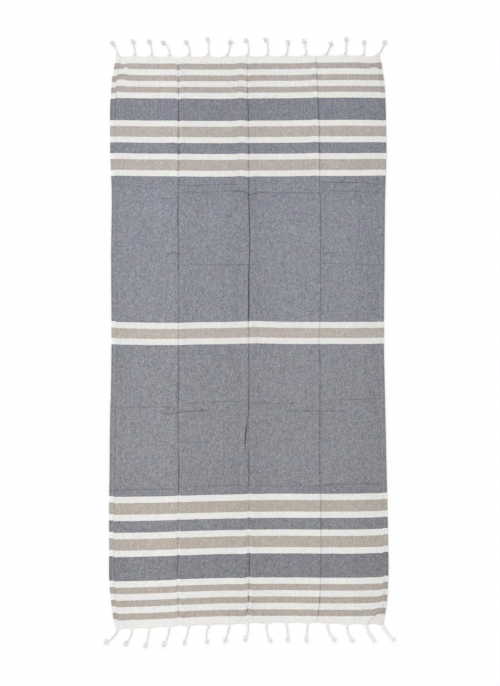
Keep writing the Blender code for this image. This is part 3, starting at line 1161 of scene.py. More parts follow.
class Tassel:
    """One cord from its root at the cloth's edge, through its overhand knot, to its short end."""

    # Distances between the points that the cord's line is laid through, and between its sections
    POINT_STEP = 0.004
    SECTION_STEP = 0.00095
    # The cord starts thin and low between its root's yarns: how thin, how low and for how long
    START_GIRTH = 0.62
    START_LENGTH = 0.007
    START_HEIGHT = 0.0012
    RISE_LENGTH = 0.010
    # The straight cord ends this far before the knot's middle; then where the knot squeezes it
    CLEAR_OF_KNOT = 0.0125
    SQUEEZE_START = 0.004
    SQUEEZE_LENGTH = 0.006
    # The knot is a trefoil of this many points: how far its loops swing out, the angle that it
    # leaves open, and in radii of the cord its middle's height and how far its turns rise and fall
    KNOT_POINTS = 44
    LOOP_SWING = 0.75
    OPENING = 0.30
    KNOT_MIDDLE = 2.02
    KNOT_RISE = 1.02
    # The cord's end past the knot: how far back, how far aside, and how high over the floor
    TAIL = ((0.0022, -0.0004, 0.0050), (0.0046, 0.0010, 0.0036), (0.0085, 0.0034, 0.0023))

    # The cord's two plies, in quarters of its diameter: distance from its middle, own radius and
    # least height; tassels this far apart have their plies at the same turn
    PLY_OFFSET = 0.66
    PLY_RADIUS = 1.30
    PLY_FLOOR = 1.32
    PLY_SIDES = 10
    SAME_TURN = 0.013

    # The knot's heart: half its height in radii of the cord, and its radius in diameters; its
    # sections reach this share of the way to its tips
    HEART_HEIGHT = 1.25
    HEART_RADIUS = 1.05
    HEART_FLOOR = 0.0003
    HEART_SIDES = 12
    HEART_TIP = 0.97

    # The root's yarns: where they start and end past the edge, their radius, how much of it they
    # gain on the way, and the height they start at
    ROOT_START = 0.0008
    ROOT_END = 0.0145
    ROOT_RADIUS = 0.00062
    ROOT_SWELL = 0.25
    ROOT_FLOOR = 0.0007
    # The half ring that they close into: its radius in diameters of the cord, its height against
    # that, how suddenly they do so, and how uneven and rough they are
    ROOT_RING = 0.36
    ROOT_RING_HEIGHT = 0.75
    ROOT_GATHER = 1.5
    ROOT_UNEVEN = 0.06
    ROOT_ROUGH = 0.0002

    # The loose fibres of the cut end: how many, where they start up the cord and round its middle,
    # how high their ring is against its width, least length and splay with what chance adds, droop,
    # radius, the share of it lost at the tip, and least height
    FIBRES = 16
    FIBRE_START = 0.0012
    FIBRE_SPREAD = 0.0010
    FIBRE_RING_HEIGHT = 0.8
    FIBRE_LENGTH = (0.0022, 0.0018)
    FIBRE_SPLAY = (0.25, 0.40)
    FIBRE_DROOP = 0.0012
    FIBRE_RADIUS = 0.00034
    FIBRE_TAPER = 0.35
    FIBRE_FLOOR = 0.0004

    def __init__(self, row, edge, outward, fringe):
        across, reach, lean, bow, turn, hand, slim, girth = row
        self.fringe = fringe
        self.across = across * MM
        x, y = lie(self.across, edge)
        self.root = np.array([float(x), float(y), 0.0])
        self.reach = np.array([lean, outward * reach, 0.0]) * MM
        self.length = float(np.linalg.norm(self.reach))
        self.side = quarter_turn(self.reach / self.length)
        if self.side[0] < 0:
            self.side = -self.side
        self.bow = bow * MM
        self.turn = math.radians(turn)
        self.hand = hand
        self.slim = slim
        self.cord = fringe.cord_diameter * girth
        self.knot_cord = fringe.knot_cord_diameter * (0.5 + 0.5 * girth)

    def place(self, distance):
        """A point of the cord's line on the floor, at a distance from the root."""
        share = distance / self.length
        inside = min(1.0, max(0.0, share))
        return self.root + self.reach * share + self.side * self.bow * 4 * inside * (1 - inside)

    def height(self, distance, start):
        """How high the cord's middle is at a distance from the root, rising from its start."""
        return start + (self.cord / 2 - start) * float(ease(distance / self.RISE_LENGTH))

    def knot_points(self):
        """An open trefoil that lies flat: both ends leave on the cord's side, the last on top."""
        radius = self.knot_cord / 2
        loop = (self.fringe.knot_width / 2 - radius) / (2 + self.LOOP_SWING)
        t = np.linspace(self.OPENING, 2 * math.pi - self.OPENING, self.KNOT_POINTS)
        spread = loop * (2 + self.LOOP_SWING * np.cos(3 * t))
        beside = -self.hand * spread * np.sin(2 * t) * self.slim
        ahead = -spread * np.cos(2 * t) * (1 + 0.5 * (1 - self.slim))
        height = radius * self.KNOT_MIDDLE - radius * self.KNOT_RISE * np.sin(3 * t)
        return zip(beside, ahead, height)

    def centreline(self):
        """Points of the cord's centre, their run, and the share of its full girth at each."""
        points = []
        straight_length = self.length - self.CLEAR_OF_KNOT
        for distance in np.arange(self.POINT_STEP, straight_length, self.POINT_STEP):
            point = self.place(distance)
            point[2] = self.height(distance, self.START_HEIGHT)
            points.append(point)
        straight = len(points)

        middle = self.place(self.length)
        aim = unit(middle - self.place(self.length - self.POINT_STEP))
        swing = math.cos(self.turn) * aim - math.sin(self.turn) * quarter_turn(aim)
        beside_axis = quarter_turn(swing)
        if beside_axis[0] < 0:
            beside_axis = -beside_axis
        for beside, ahead, height in self.knot_points():
            points.append(middle + beside_axis * beside + swing * ahead + UP * height)

        # The end comes down off the knot and lies beside the cord, pointing back
        last = points[-1]
        scale = self.fringe.tail_length / self.TAIL[-1][0]
        for back, aside, height in self.TAIL:
            point = last - swing * back * scale + beside_axis * self.hand * aside * scale
            point[2] = height
            points.append(point)

        line, run = even_line(points, self.SECTION_STEP)
        steps = np.diff(np.array(points[: straight + 1]), axis=0)
        knot_start = float(np.linalg.norm(steps, axis=1).sum())
        squeezed = ease((run - knot_start + self.SQUEEZE_START) / self.SQUEEZE_LENGTH)
        girth = 1 - (1 - self.knot_cord / self.cord) * squeezed
        girth = girth * (self.START_GIRTH + (1 - self.START_GIRTH) * ease(run / self.START_LENGTH))
        return line, run, girth

    def add_plies(self, heap):
        """Adds the cord's two twisted plies, and gives the cord's last point and direction."""
        line, run, girth = self.centreline()
        radius = self.cord / 4 * girth
        tangent = unit(np.gradient(line, axis=0))
        normal = unit(UP - tangent * tangent[:, 2:3])
        beside = np.cross(tangent, normal)
        turns = run / self.fringe.twist_length + self.across / self.SAME_TURN
        for ply in range(2):
            phase = 2 * math.pi * (turns + ply / 2)
            spoke = normal * np.cos(phase)[:, None] + beside * np.sin(phase)[:, None]
            path = line + spoke * (radius * self.PLY_OFFSET)[:, None]
            path[:, 2] = np.maximum(path[:, 2], radius * self.PLY_FLOOR)
            heap.add(path[None], (radius * self.PLY_RADIUS)[None], self.PLY_SIDES, spoke[None])
        return line[-1], unit(line[-1] - line[-3])

    def add_heart(self, heap):
        """The turns of cord pressed together inside the knot, which close its loops' gaps."""
        share = np.linspace(-self.HEART_TIP, self.HEART_TIP, 9)
        half_height = self.HEART_HEIGHT * self.knot_cord / 2
        middle = self.place(self.length) + UP * (half_height + self.HEART_FLOOR)
        line = middle + share[:, None] * UP * half_height
        radii = self.HEART_RADIUS * self.knot_cord * self.slim * np.sqrt(1 - share**2)
        heap.add(line[None], radii[None], self.HEART_SIDES, (1.0, 0.0, 0.0))

    def add_root(self, heap, rng):
        """The warp ends that leave the cloth beside each other and gather into the cord."""
        share = np.linspace(0.0, 1.0, 9)
        yarns = []
        for place in np.linspace(-1.0, 1.0, self.fringe.root_yarns):
            start = self.ROOT_START * (1 + rng.random())
            uneven = 1 + self.ROOT_UNEVEN * (rng.random() - 0.5)
            spread = place * self.fringe.root_width / 2 * uneven
            angle = math.pi * (place * 0.5 + 0.5)
            line = []
            for t in share:
                distance = start + t * (self.ROOT_END - start)
                ring = self.cord * self.ROOT_RING * ease(t)
                point = self.place(distance) - self.side * math.cos(angle) * ring
                point[0] += spread * (1 - t) ** self.ROOT_GATHER
                over = math.sin(angle) * ring * self.ROOT_RING_HEIGHT
                rough = self.ROOT_ROUGH * rng.random()
                point[2] = self.height(distance, self.ROOT_FLOOR) + over + rough
                line.append(point)
            yarns.append(line)
        heap.add(np.array(yarns), self.ROOT_RADIUS * (1 + self.ROOT_SWELL * share), 6)

    def add_frayed_end(self, heap, tip, aim, rng):
        """Loose fibres at the cord's cut end."""
        share = np.linspace(0.0, 1.0, 5)
        side = quarter_turn(aim)
        least_length, more_length = self.FIBRE_LENGTH
        least_splay, more_splay = self.FIBRE_SPLAY
        yarns = []
        for _ in range(self.FIBRES):
            angle = 2 * math.pi * rng.random()
            spoke = side * math.cos(angle) + UP * math.sin(angle) * self.FIBRE_RING_HEIGHT
            start = tip - aim * self.FIBRE_START
            start = start + spoke * self.FIBRE_SPREAD * math.sqrt(rng.random())
            length = least_length + more_length * rng.random()
            splay = least_splay + more_splay * rng.random()
            yarns.append([start + (aim + spoke * splay * t) * length * t for t in share])
        yarns = np.array(yarns)
        yarns[:, :, 2] = np.maximum(yarns[:, :, 2] - self.FIBRE_DROOP * share**2, self.FIBRE_FLOOR)
        heap.add(yarns, self.FIBRE_RADIUS * (1 - self.FIBRE_TAPER * share), 4)


def knot_fringe_mesh(name, tassels, edge, outward, fringe, material):
    """All tassels of one end as one mesh."""
    heap = YarnHeap()
    rng = np.random.default_rng(FRINGE_SEEDS[outward])
    for row in tassels:
        tassel = Tassel(row, edge, outward, fringe)
        tassel.add_root(heap, rng)
        tip, aim = tassel.add_plies(heap)
        tassel.add_heart(heap)
        tassel.add_frayed_end(heap, tip, aim, rng)
    return heap.build(name, material)


# ---------------------------------------------------------------- hem stitching

# The seam starts this far from the cloth's ends
SEAM_END = 0.006
# How far a stitch strays across and how far it slants; then its arch over the cloth along its
# length, in thread diameters
STITCH_STRAY = 0.00022
STITCH_SLANT = 0.00018
STITCH_ARCH = (-0.35, 0.20, 0.42, 0.20, -0.35)
STITCH_SEED = 8


def hem_stitch_mesh(cloth, stitch, material):
    """Short arched stitches in a row along each side hem."""
    heap = YarnHeap()
    starts = np.arange(LOWER_EDGE + SEAM_END, UPPER_EDGE - SEAM_END - stitch.length, stitch.pitch)
    share = np.linspace(0.0, 1.0, len(STITCH_ARCH))
    along = starts[:, None] + stitch.length * share
    rng = np.random.default_rng(STITCH_SEED)
    for side in (-1, 1):
        across = side * (CLOTH_WIDTH / 2 - stitch.inset) * np.ones((len(starts), 1))
        across = across + STITCH_STRAY * rng.standard_normal((len(starts), 1))
        line, _ = cloth_faces(across + STITCH_SLANT * (share - 0.5), along, cloth)
        line[:, :, 2] += np.array(STITCH_ARCH) * stitch.thread
        heap.add(line, stitch.thread / 2, 6)
    return heap.build("hem_stitching", material)


# ---------------------------------------------------------------- shader nodes


class Bench:
    """A node tree, with short ways to add nodes and join them."""

    def __init__(self, tree):
        self.tree = tree

    def feed(self, socket, value):
        """Gives a socket another node's output, or a plain value."""
        if isinstance(value, bpy.types.NodeSocket):
            self.tree.links.new(value, socket)
        else:
            socket.default_value = value

    def add(self, kind, inputs=(), **settings):
        """A node with these settings, its named sockets fed."""
        node = self.tree.nodes.new(kind)
        for name, value in settings.items():
            setattr(node, name, value)
        for name, value in dict(inputs).items():
            self.feed(node.inputs[name], value)
        return node

    def maths(self, operation, *values, clamp=False):
        """One step of arithmetic on plain numbers."""
        node = self.add("ShaderNodeMath", operation=operation, use_clamp=clamp)
        for socket, value in zip(node.inputs, values):
            self.feed(socket, value)
        return node.outputs[0]

    def vector(self, operation, *values):
        """One step of arithmetic on vectors."""
        node = self.add("ShaderNodeVectorMath", operation=operation)
        for socket, value in zip(node.inputs, values):
            self.feed(socket, value)
        return node.outputs[0]

    def combine(self, x, y, z=0.0):
        """A vector from its three parts."""
        return self.add("ShaderNodeCombineXYZ", {"X": x, "Y": y, "Z": z}).outputs[0]

    def separate(self, vector):
        """A vector's three parts."""
        return self.add("ShaderNodeSeparateXYZ", {"Vector": vector}).outputs

    def noise(self, coordinates, detail=2.0, roughness=0.5):
        """Soft noise, 0 to 1, in patches about one unit wide."""
        inputs = {"Vector": coordinates, "Scale": 1.0, "Detail": detail, "Roughness": roughness}
        return self.add("ShaderNodeTexNoise", inputs).outputs["Fac"]

    def between(self, value, low, high):
        """A value from 0 to 1 spread between two others."""
        return self.maths("ADD", self.maths("MULTIPLY", value, high - low), low)

    def mix(self, factor, first, second, blend="MIX"):
        """Two colours mixed: the first at factor 0, the second or its blend at 1."""
        node = self.add("ShaderNodeMix", data_type="RGBA", blend_type=blend)
        for index, value in zip(MIX_COLOUR_SOCKETS, (factor, first, second)):
            self.feed(node.inputs[index], value)
        return node.outputs[MIX_COLOUR_RESULT]

    def tinted(self, colour, tint):
        """A colour times another."""
        return self.mix(1.0, colour, tint, "MULTIPLY")

    def shaded(self, colour, shade):
        """A colour times a plain number."""
        return self.tinted(colour, self.combine(shade, shade, shade))

    def group(self, build, inputs):
        """The outputs of a shader group, which its function builds when it is first wanted."""
        tree = bpy.data.node_groups.get(build.__name__) or build()
        return self.add("ShaderNodeGroup", inputs, node_tree=tree).outputs


# The mix node's sockets when it mixes colours: factor, first and second colour; then its result
MIX_COLOUR_SOCKETS = (0, 6, 7)
MIX_COLOUR_RESULT = 2


def new_group(name, inputs, outputs):
    """A shader group with these sockets: its bench, its given values and its result."""
    tree = bpy.data.node_groups.new(name, "ShaderNodeTree")
    for socket, kind, default in inputs:
        made = tree.interface.new_socket(name=socket, in_out="INPUT", socket_type=kind)
        if default is not None:
            made.default_value = default
    for socket, kind in outputs:
        tree.interface.new_socket(name=socket, in_out="OUTPUT", socket_type=kind)
    given = tree.nodes.new("NodeGroupInput").outputs
    result = tree.nodes.new("NodeGroupOutput").inputs
    return Bench(tree), given, result


def cotton_fibres():
    """Streaks and slubs of spun cotton: a shade around 1 and a height from 0 to 1."""
    bench, given, result = new_group(
        "cotton_fibres",
        (
            ("Coordinates", "NodeSocketVector", None),
            ("Width", "NodeSocketFloat", 0.001),
            ("Length", "NodeSocketFloat", 0.05),
            ("Strength", "NodeSocketFloat", 0.1),
        ),
        (("Shade", "NodeSocketFloat"), ("Height", "NodeSocketFloat")),
    )
    per_width = bench.maths("DIVIDE", 1.0, given["Width"])
    per_length = bench.maths("DIVIDE", 1.0, given["Length"])
    scale = bench.combine(per_width, per_length, 1.0)
    place = bench.vector("MULTIPLY", given["Coordinates"], scale)
    streaks = bench.noise(place, detail=2.5, roughness=0.6)
    centred = bench.maths("MULTIPLY", bench.maths("SUBTRACT", streaks, 0.5), 2.0)
    bench.feed(result["Shade"], bench.maths("MULTIPLY_ADD", centred, given["Strength"], 1.0))
    bench.feed(result["Height"], streaks)
    return bench.tree


def yarn_dashes():
    """Yarns side by side whose shade changes in dashes: 0 to 1, random from dash to dash."""
    bench, given, result = new_group(
        "yarn_dashes",
        (
            ("Beside", "NodeSocketFloat", 0.0),
            ("Ahead", "NodeSocketFloat", 0.0),
            ("Width", "NodeSocketFloat", 0.001),
            ("Length", "NodeSocketFloat", 0.006),
        ),
        (("Shade", "NodeSocketFloat"),),
    )
    yarn = bench.maths("FLOOR", bench.maths("DIVIDE", given["Beside"], given["Width"]))
    start = bench.add("ShaderNodeTexWhiteNoise", {"W": yarn}, noise_dimensions="1D")
    ahead = bench.maths("DIVIDE", given["Ahead"], given["Length"])
    dash = bench.maths("FLOOR", bench.maths("ADD", ahead, start.outputs["Value"]))
    place = {"Vector": bench.combine(yarn, dash)}
    shade = bench.add("ShaderNodeTexWhiteNoise", place, noise_dimensions="2D")
    bench.feed(result["Shade"], shade.outputs["Value"])
    return bench.tree


def dye_patches():
    """Slow changes of shade and tint, as in washed cotton: a tint around white."""
    bench, given, result = new_group(
        "dye_patches",
        (
            ("Coordinates", "NodeSocketVector", None),
            ("Patch Size", "NodeSocketFloat", 0.08),
            ("Strength", "NodeSocketFloat", 0.05),
        ),
        (("Tint", "NodeSocketColor"),),
    )
    scale = bench.maths("DIVIDE", 1.0, given["Patch Size"])
    inputs = {"Vector": given["Coordinates"], "Scale": scale}
    scaled = bench.add("ShaderNodeVectorMath", inputs, operation="SCALE").outputs[0]
    channels = []
    for offset in (0.0, 3.7, 9.1):
        place = bench.vector("ADD", scaled, (offset, offset, 0.0))
        patch = bench.maths("SUBTRACT", bench.noise(place), 0.5)
        channels.append(bench.maths("MULTIPLY_ADD", patch, given["Strength"], 1.0))
    bench.feed(result["Tint"], bench.combine(*channels))
    return bench.tree


# ---------------------------------------------------------------- materials


def new_material(name):
    """An empty material with a shader joined to its output."""
    material = bpy.data.materials.new(name)
    material.use_nodes = True
    material.node_tree.nodes.clear()
    bench = Bench(material.node_tree)
    shader = bench.add("ShaderNodeBsdfPrincipled")
    output = bench.add("ShaderNodeOutputMaterial")
    bench.feed(output.inputs["Surface"], shader.outputs[0])
    return material, bench, shader


def with_alpha(colour):
    """A property's colour as a colour socket takes it."""
    return (*colour, 1.0)


def fibres(bench, coordinates, width, length, strength):
    """The shade and height of cotton fibres."""
    inputs = {"Coordinates": coordinates, "Width": width, "Length": length, "Strength": strength}
    return bench.group(cotton_fibres, inputs)


def dashes(bench, beside, ahead, width, length):
    """The shade of yarns that change in dashes."""
    inputs = {"Beside": beside, "Ahead": ahead, "Width": width, "Length": length}
    return bench.group(yarn_dashes, inputs)["Shade"]


def patches(bench, coordinates, size, strength):
    """The tint of patches in the dye."""
    inputs = {"Coordinates": coordinates, "Patch Size": size, "Strength": strength}
    return bench.group(dye_patches, inputs)["Tint"]


def finish_cotton(bench, shader, height, strength, depth):
    """Matt cotton with a little down on it, and the relief of its yarns."""
    bump = bench.add("ShaderNodeBump", {"Height": height, "Strength": strength, "Distance": depth})
    bench.feed(shader.inputs["Normal"], bump.outputs[0])
    shader.inputs["Specular IOR Level"].default_value = 0.2
    shader.inputs["Sheen Weight"].default_value = 0.08
    shader.inputs["Sheen Roughness"].default_value = 0.6


# The weft wanders this much, so that the stripes' edges aren't ruled lines: waves per metre across
# and along, and the distance
WEFT_WANDER = (28.0, 9.0, 1.0)
WANDER = 0.0009
# How the yarns' pitch varies: patches per metre, and the shift in radians
PITCH_PATCHES = (90.0, 90.0, 1.0)
PITCH_SHIFT = 1.1
# Streaks: width and length in metres, strength
WARP_STREAKS = (0.0016, 0.16, 0.17)
WARP_STRIPES = (0.0042, 0.30, 0.16)
WEFT_STREAKS = (0.11, 0.0013, 0.15)
# Dashes of lighter and darker yarn: width in yarns, then the warp's and the weft's length in metres
DASH_YARNS = 1.6
WARP_DASH = 0.0075
WEFT_DASH = 0.0050
# Patches of the dye: size in metres, strength
CLOTH_PATCHES = (0.055, 0.11)
# How sharply warp and weft change places at a crossing
CROSSING_SHARPNESS = 1.6
# Share of warp that shows where a weft yarn and where a warp yarn is on top, and what flecks add
WARP_SHOWN = (0.130, 0.370)
FLECK_SHARE = 0.125
FLECK_SHADE = 0.10
# Brightness of the off-white yarn, against which a yarn counts as dark
WHITE_BRIGHTNESS = 0.79
# The dark yarns' tint at the lower and at the upper end; how much of the way from one to the other
# a metre makes, and how much is made at the middle
LOWER_WASH = (0.99, 0.98, 0.98, 1.0)
UPPER_WASH = (1.0, 1.0, 1.07, 1.0)
WASH_CHANGE = (1.6, 0.35)
# How strongly the painted light falloff, the painted shade of creases and ridges, and the hems
# show, in the palest and in the darkest yarn; then how strongly the seams' painted shade shows
TONE_SHOWN = (0.5, 1.0)
CREASE_SHOWN = (0.12, 0.50)
RIDGE_SHOWN = (0.22, 0.50)
HEM_SHOWN = (0.09, -0.05)
SEAM_SHOWN = 0.13
# Height of the fibres in the weft and in the warp against that of the yarns
FIBRE_RELIEF = (0.7, 0.6)
# Roughness of the cloth and of spun yarn, least and most
CLOTH_ROUGHNESS = (0.82, 0.94)
SPUN_ROUGHNESS = (0.78, 0.95)
# Spun yarn: how far apart fibres on opposite sides look to its pattern; length and strength of its
# fibres, patches of its dye, and the painted shade in the grooves between its ridges and on them
YARN_GIRTH = 0.009
SPUN_FIBRES = (0.004, 0.07)
SPUN_PATCHES = (0.03, 0.04)
SPUN_GROOVE_SHADE = (0.93, 1.0)
# How the thread and the tassels' yarn are spun: ridges round the yarn, length of one turn and width
# of a fibre
HEM_THREAD = (2, 0.0012, 0.0003)
TASSEL_YARN = (4, 0.0065, 0.0006)
# The floor's patches
FLOOR_PATCHES = (1.5, 0.006)


def weft_bands(bench, distance, cloth):
    """The weft yarn's colour, and its shade, at a distance from the pattern's middle."""
    _, first_yarn, shade = WEFT_BANDS[0]
    colour = with_alpha(getattr(cloth, first_yarn))
    start = 0.0
    for (width, _, last), (_, yarn, cover) in zip(WEFT_BANDS, WEFT_BANDS[1:]):
        start += width * MM
        past = bench.maths("GREATER_THAN", distance, start)
        colour = bench.mix(past, colour, with_alpha(getattr(cloth, yarn)))
        shade = bench.maths("MULTIPLY_ADD", past, cover - last, shade)
    return colour, shade


def yarn_crossing(bench, weave, places, pitch):
    """Plain weave, -1 to 1: warp and weft take turns on top, at an uneven pitch."""
    uneven = bench.noise(bench.vector("MULTIPLY", weave, PITCH_PATCHES), detail=1.0)
    uneven = bench.between(uneven, -PITCH_SHIFT, PITCH_SHIFT)
    turns = [bench.maths("MULTIPLY_ADD", place, math.pi / pitch, uneven) for place in places]
    return bench.maths("MULTIPLY", *[bench.maths("SINE", turn) for turn in turns])


def held_shade(bench, darkness, band_shade, flecks):
    """Painted light falloff, painted shade of creases, ridges and seams, and the hems', bands' and
    flecks' shade, most of it in the dark yarns.
    """
    names = ("crease", "ridge", "seam", "hem", "tone")
    crease, ridge, seam, hem, panel = [
        bench.add("ShaderNodeAttribute", attribute_name=name).outputs["Fac"] for name in names
    ]
    shade = bench.maths("SUBTRACT", panel, 1.0)
    shade = bench.maths("MULTIPLY_ADD", shade, bench.between(darkness, *TONE_SHOWN), 1.0)
    shade = bench.maths("MULTIPLY", shade, band_shade)
    # Painted shade along the creases, ridges and seams
    painted_dark = bench.maths("MULTIPLY", crease, bench.between(darkness, *CREASE_SHOWN))
    painted_dark = bench.maths("MULTIPLY_ADD", ridge, bench.between(darkness, *RIDGE_SHOWN), painted_dark)
    painted_dark = bench.maths("MULTIPLY_ADD", seam, SEAM_SHOWN, painted_dark)
    shade = bench.maths("MULTIPLY", shade, bench.maths("SUBTRACT", 1.0, painted_dark, clamp=True))
    turned_in = bench.maths("MULTIPLY_ADD", hem, bench.between(darkness, *HEM_SHOWN), 1.0)
    shade = bench.maths("MULTIPLY", shade, turned_in)
    return bench.maths("MULTIPLY", shade, bench.maths("MULTIPLY_ADD", flecks, FLECK_SHADE, 1.0))


def striped_cotton(cloth):
    """Plain-woven cotton: an off-white warp crossed by bands of coloured weft."""
    material, bench, shader = new_material("striped_cotton")
    weave = bench.add("ShaderNodeUVMap", uv_map="weave").outputs[0]
    across, pattern, _ = bench.separate(weave)
    wander = bench.noise(bench.vector("MULTIPLY", weave, WEFT_WANDER), detail=3.0)
    wander = bench.between(wander, -WANDER, WANDER)
    from_middle = bench.maths("ABSOLUTE", bench.maths("ADD", pattern, wander))
    weft, band_shade = weft_bands(bench, from_middle, cloth)

    warp_streaks = fibres(bench, weave, *WARP_STREAKS)
    weft_streaks = fibres(bench, weave, *WEFT_STREAKS)
    warp_stripes = fibres(bench, weave, *WARP_STRIPES)
    dash_width = DASH_YARNS * cloth.yarn_pitch
    warp_dash = dashes(bench, across, pattern, dash_width, WARP_DASH)
    weft_dash = dashes(bench, pattern, across, dash_width, WEFT_DASH)

    # Share of warp that shows: more where a warp yarn is on top, and flecked like chambray
    crossing = yarn_crossing(bench, weave, (across, pattern), cloth.yarn_pitch)
    warp_up = bench.maths("MULTIPLY_ADD", crossing, CROSSING_SHARPNESS, 0.5, clamp=True)
    flecks = bench.between(bench.maths("ADD", warp_dash, weft_dash), -1.0, 0.0)
    fleck = bench.maths("MULTIPLY", flecks, FLECK_SHARE)
    shown = bench.maths("ADD", bench.between(warp_up, *WARP_SHOWN), fleck, clamp=True)
    warp_shade = bench.maths("MULTIPLY", warp_streaks["Shade"], warp_stripes["Shade"])
    warp_colour = bench.shaded(with_alpha(cloth.white), warp_shade)
    colour = bench.mix(shown, bench.shaded(weft, weft_streaks["Shade"]), warp_colour)
    colour = bench.tinted(colour, patches(bench, weave, *CLOTH_PATCHES))

    # The dark yarns of the upper half have washed out a little bluer
    paleness = bench.add("ShaderNodeRGBToBW", {"Color": weft}).outputs[0]
    darkness = bench.maths("MULTIPLY_ADD", paleness, -1.0 / WHITE_BRIGHTNESS, 1.0, clamp=True)
    upper = bench.maths("MULTIPLY_ADD", pattern, *WASH_CHANGE, clamp=True)
    washed = bench.mix(bench.maths("MULTIPLY", upper, darkness), LOWER_WASH, UPPER_WASH)
    colour = bench.tinted(colour, washed)
    # Painted light falloff and painted shade of the creases, ridges and seams
    colour = bench.shaded(colour, held_shade(bench, darkness, band_shade, flecks))
    bench.feed(shader.inputs["Base Color"], colour)
    bench.feed(shader.inputs["Roughness"], bench.between(warp_dash, *CLOTH_ROUGHNESS))

    rounded = bench.maths("POWER", bench.maths("ABSOLUTE", crossing), 0.5)
    height = rounded
    for streaks, relief in zip((weft_streaks, warp_streaks), FIBRE_RELIEF):
        height = bench.maths("MULTIPLY_ADD", streaks["Height"], relief, height)
    finish_cotton(bench, shader, height, strength=0.55, depth=0.00022)
    return material


def spun_cotton(name, colour, ply_turns, turn_length, fibre_width):
    """White spun cotton whose fibres wind round the yarn in slanting ridges, with painted shade
    between.
    """
    material, bench, shader = new_material(name)
    yarn = bench.add("ShaderNodeUVMap", uv_map="yarn").outputs[0]
    around, run, _ = bench.separate(yarn)
    turned = bench.maths("MULTIPLY", around, ply_turns)
    slant = bench.maths("MULTIPLY_ADD", run, 1.0 / turn_length, turned)
    ridges = bench.maths("SINE", bench.maths("MULTIPLY", slant, 2 * math.pi))
    ridge_height = bench.maths("MULTIPLY_ADD", ridges, 0.5, 0.5)
    place = bench.combine(bench.maths("MULTIPLY", around, YARN_GIRTH), run)
    down = fibres(bench, place, fibre_width, *SPUN_FIBRES)
    tinted = bench.tinted(with_alpha(colour), patches(bench, place, *SPUN_PATCHES))
    # The grooves between the fibre ridges get a painted shade
    shade = bench.maths("MULTIPLY", down["Shade"], bench.between(ridge_height, *SPUN_GROOVE_SHADE))
    bench.feed(shader.inputs["Base Color"], bench.shaded(tinted, shade))
    bench.feed(shader.inputs["Roughness"], bench.between(down["Height"], *SPUN_ROUGHNESS))
    height = bench.maths("MULTIPLY_ADD", down["Height"], 0.5, ridge_height)
    finish_cotton(bench, shader, height, strength=0.6, depth=0.0003)
    return material


def pale_floor(colour):
    """The studio's matt pale floor."""
    material, bench, shader = new_material("pale_floor")
    place = bench.add("ShaderNodeTexCoord").outputs["Object"]
    tinted = bench.tinted(with_alpha(colour), patches(bench, place, *FLOOR_PATCHES))
    bench.feed(shader.inputs["Base Color"], tinted)
    shader.inputs["Roughness"].default_value = 0.95
    shader.inputs["Specular IOR Level"].default_value = 0.0
    return material


# ---------------------------------------------------------------- operators


class TOWEL_OT_weave_cloth(bpy.types.Operator):
    """Weave the striped cloth with its side hems and storage creases"""

    bl_idname = "towel.weave_cloth"
    bl_label = "Weave Cloth"

    def execute(self, context):
        cloth = context.scene.towel.cloth
        piece = weave_cloth_mesh(cloth, striped_cotton(cloth))
        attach(piece, "root")
        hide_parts("towel_cloth")
        return {"FINISHED"}


class TOWEL_OT_stitch_hems(bpy.types.Operator):
    """Sew the row of stitches that holds each side hem"""

    bl_idname = "towel.stitch_hems"
    bl_label = "Stitch Hems"

    def execute(self, context):
        towel = context.scene.towel
        thread = spun_cotton("hem_thread", towel.cloth.white, *HEM_THREAD)
        piece = hem_stitch_mesh(towel.cloth, towel.stitch, thread)
        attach(piece, "root")
        return {"FINISHED"}


class TOWEL_OT_knot_fringe(bpy.types.Operator):
    """Twist and knot the fifteen tassels of one end"""

    bl_idname = "towel.knot_fringe"
    bl_label = "Knot Fringe"

    end: EnumProperty(
        name="End",
        description="The end of the towel that gets the tassels",
        items=(
            ("UPPER", "Upper", "The end towards +Y"),
            ("LOWER", "Lower", "The end towards -Y"),
        ),
        default="UPPER",
    )

    def execute(self, context):
        fringe = context.scene.towel.fringe
        cotton = bpy.data.materials.get("tassel_yarn")
        if cotton is None:
            cotton = spun_cotton("tassel_yarn", fringe.white, *TASSEL_YARN)
        if self.end == "UPPER":
            piece = knot_fringe_mesh("upper_tassels", UPPER_TASSELS, UPPER_EDGE, 1, fringe, cotton)
            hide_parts("fringe_upper")
        else:
            piece = knot_fringe_mesh("lower_tassels", LOWER_TASSELS, LOWER_EDGE, -1, fringe, cotton)
            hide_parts("fringe_lower")
        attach(piece, "root")
        return {"FINISHED"}


class TOWEL_OT_declare_cloth(bpy.types.Operator):
    """A step that changes nothing in the scene"""

    bl_idname = "towel.declare_cloth"
    bl_label = "Declare Cloth"

    def execute(self, context):
        return {"FINISHED"}


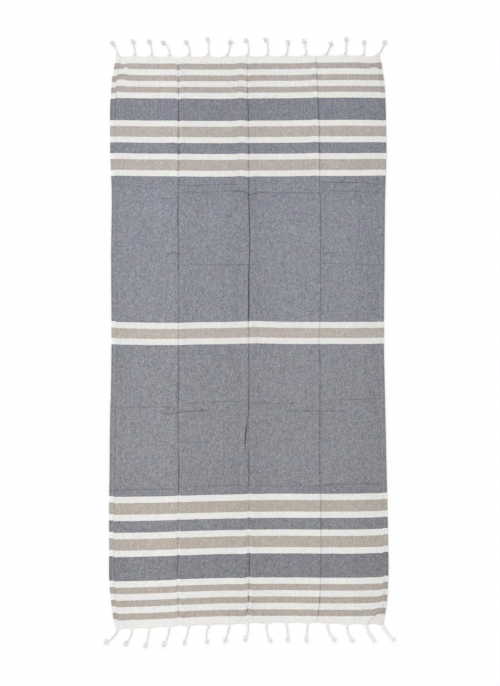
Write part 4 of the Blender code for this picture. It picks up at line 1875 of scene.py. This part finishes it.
class TOWEL_OT_set_studio(bpy.types.Operator):
    """Lay the pale floor and set the soft lights and the camera above it"""

    bl_idname = "towel.set_studio"
    bl_label = "Set Studio"

    def execute(self, context):
        studio = context.scene.towel.studio
        self.lay_floor(studio)
        self.set_lights(context.scene, studio)
        self.set_camera(context.scene, studio)
        context.scene.view_settings.view_transform = "Standard"
        return {"FINISHED"}

    def lay_floor(self, studio):
        """One wide pale square just under the towel."""
        half = FLOOR_SIZE / 2
        corners = np.array([(-half, -half), (half, -half), (half, half), (-half, half)])
        points = np.column_stack([corners, np.full(4, -FLOOR_GAP)])
        material = pale_floor(studio.floor)
        floor = mesh_object("studio_floor", points, [(0, 1, 2, 3)], material, "floor", corners)

    def set_lights(self, scene, studio):
        """A soft key light and an even light from all round."""
        key = bpy.data.lights.new("key_light", "SUN")
        key.energy = studio.key_strength
        key.angle = studio.key_softness
        lamp = bpy.data.objects.new("key_light", key)
        lamp.rotation_euler = Vector(KEY_DIRECTION).to_track_quat("-Z", "Y").to_euler()
        scene.collection.objects.link(lamp)
        world = bpy.data.worlds.new("soft_fill")
        world.use_nodes = True
        background = world.node_tree.nodes["Background"]
        background.inputs["Color"].default_value = FILL_COLOUR
        background.inputs["Strength"].default_value = studio.fill_strength
        scene.world = world

    def set_camera(self, scene, studio):
        """A camera straight above the towel, which takes in the photo's height."""
        camera = bpy.data.cameras.new("overhead_camera")
        camera.lens = studio.lens
        camera.sensor_width = SENSOR_WIDTH
        holder = bpy.data.objects.new("overhead_camera", camera)
        distance = PHOTO_HEIGHT * studio.lens / SENSOR_WIDTH
        holder.location = (*PHOTO_MIDDLE, distance)
        scene.collection.objects.link(holder)
        scene.camera = holder


class TOWEL_PT_sidebar(bpy.types.Panel):
    """Sizes, dyes and steps of the towel"""

    bl_idname = "TOWEL_PT_sidebar"
    bl_label = "Hammam Towel"
    bl_space_type = "VIEW_3D"
    bl_region_type = "UI"
    bl_category = "Towel"

    def draw(self, context):
        towel = context.scene.towel
        for title, group in (
            ("Cloth", towel.cloth),
            ("Fringe", towel.fringe),
            ("Stitching", towel.stitch),
            ("Studio", towel.studio),
        ):
            box = self.layout.box()
            box.label(text=title)
            for name in group.__annotations__:
                box.prop(group, name)
        for operator in OPERATORS:
            self.layout.operator(operator.bl_idname)


OPERATORS = (
    TOWEL_OT_weave_cloth,
    TOWEL_OT_stitch_hems,
    TOWEL_OT_knot_fringe,
    TOWEL_OT_declare_cloth,
    TOWEL_OT_set_studio,
)
CLASSES = (
    TowelClothSettings,
    TowelFringeSettings,
    TowelStitchSettings,
    TowelStudioSettings,
    TowelSettings,
    *OPERATORS,
    TOWEL_PT_sidebar,
)


def register():
    for cls in CLASSES:
        bpy.utils.register_class(cls)
    bpy.types.Scene.towel = PointerProperty(type=TowelSettings)


def unregister():
    del bpy.types.Scene.towel
    for cls in reversed(CLASSES):
        bpy.utils.unregister_class(cls)


def main():
    register()
    bpy.ops.towel.weave_cloth()
    bpy.ops.towel.stitch_hems()
    bpy.ops.towel.knot_fringe(end="UPPER")
    bpy.ops.towel.knot_fringe(end="LOWER")
    bpy.ops.towel.declare_cloth()
    bpy.ops.towel.set_studio()


if __name__ == "__main__":
    main()
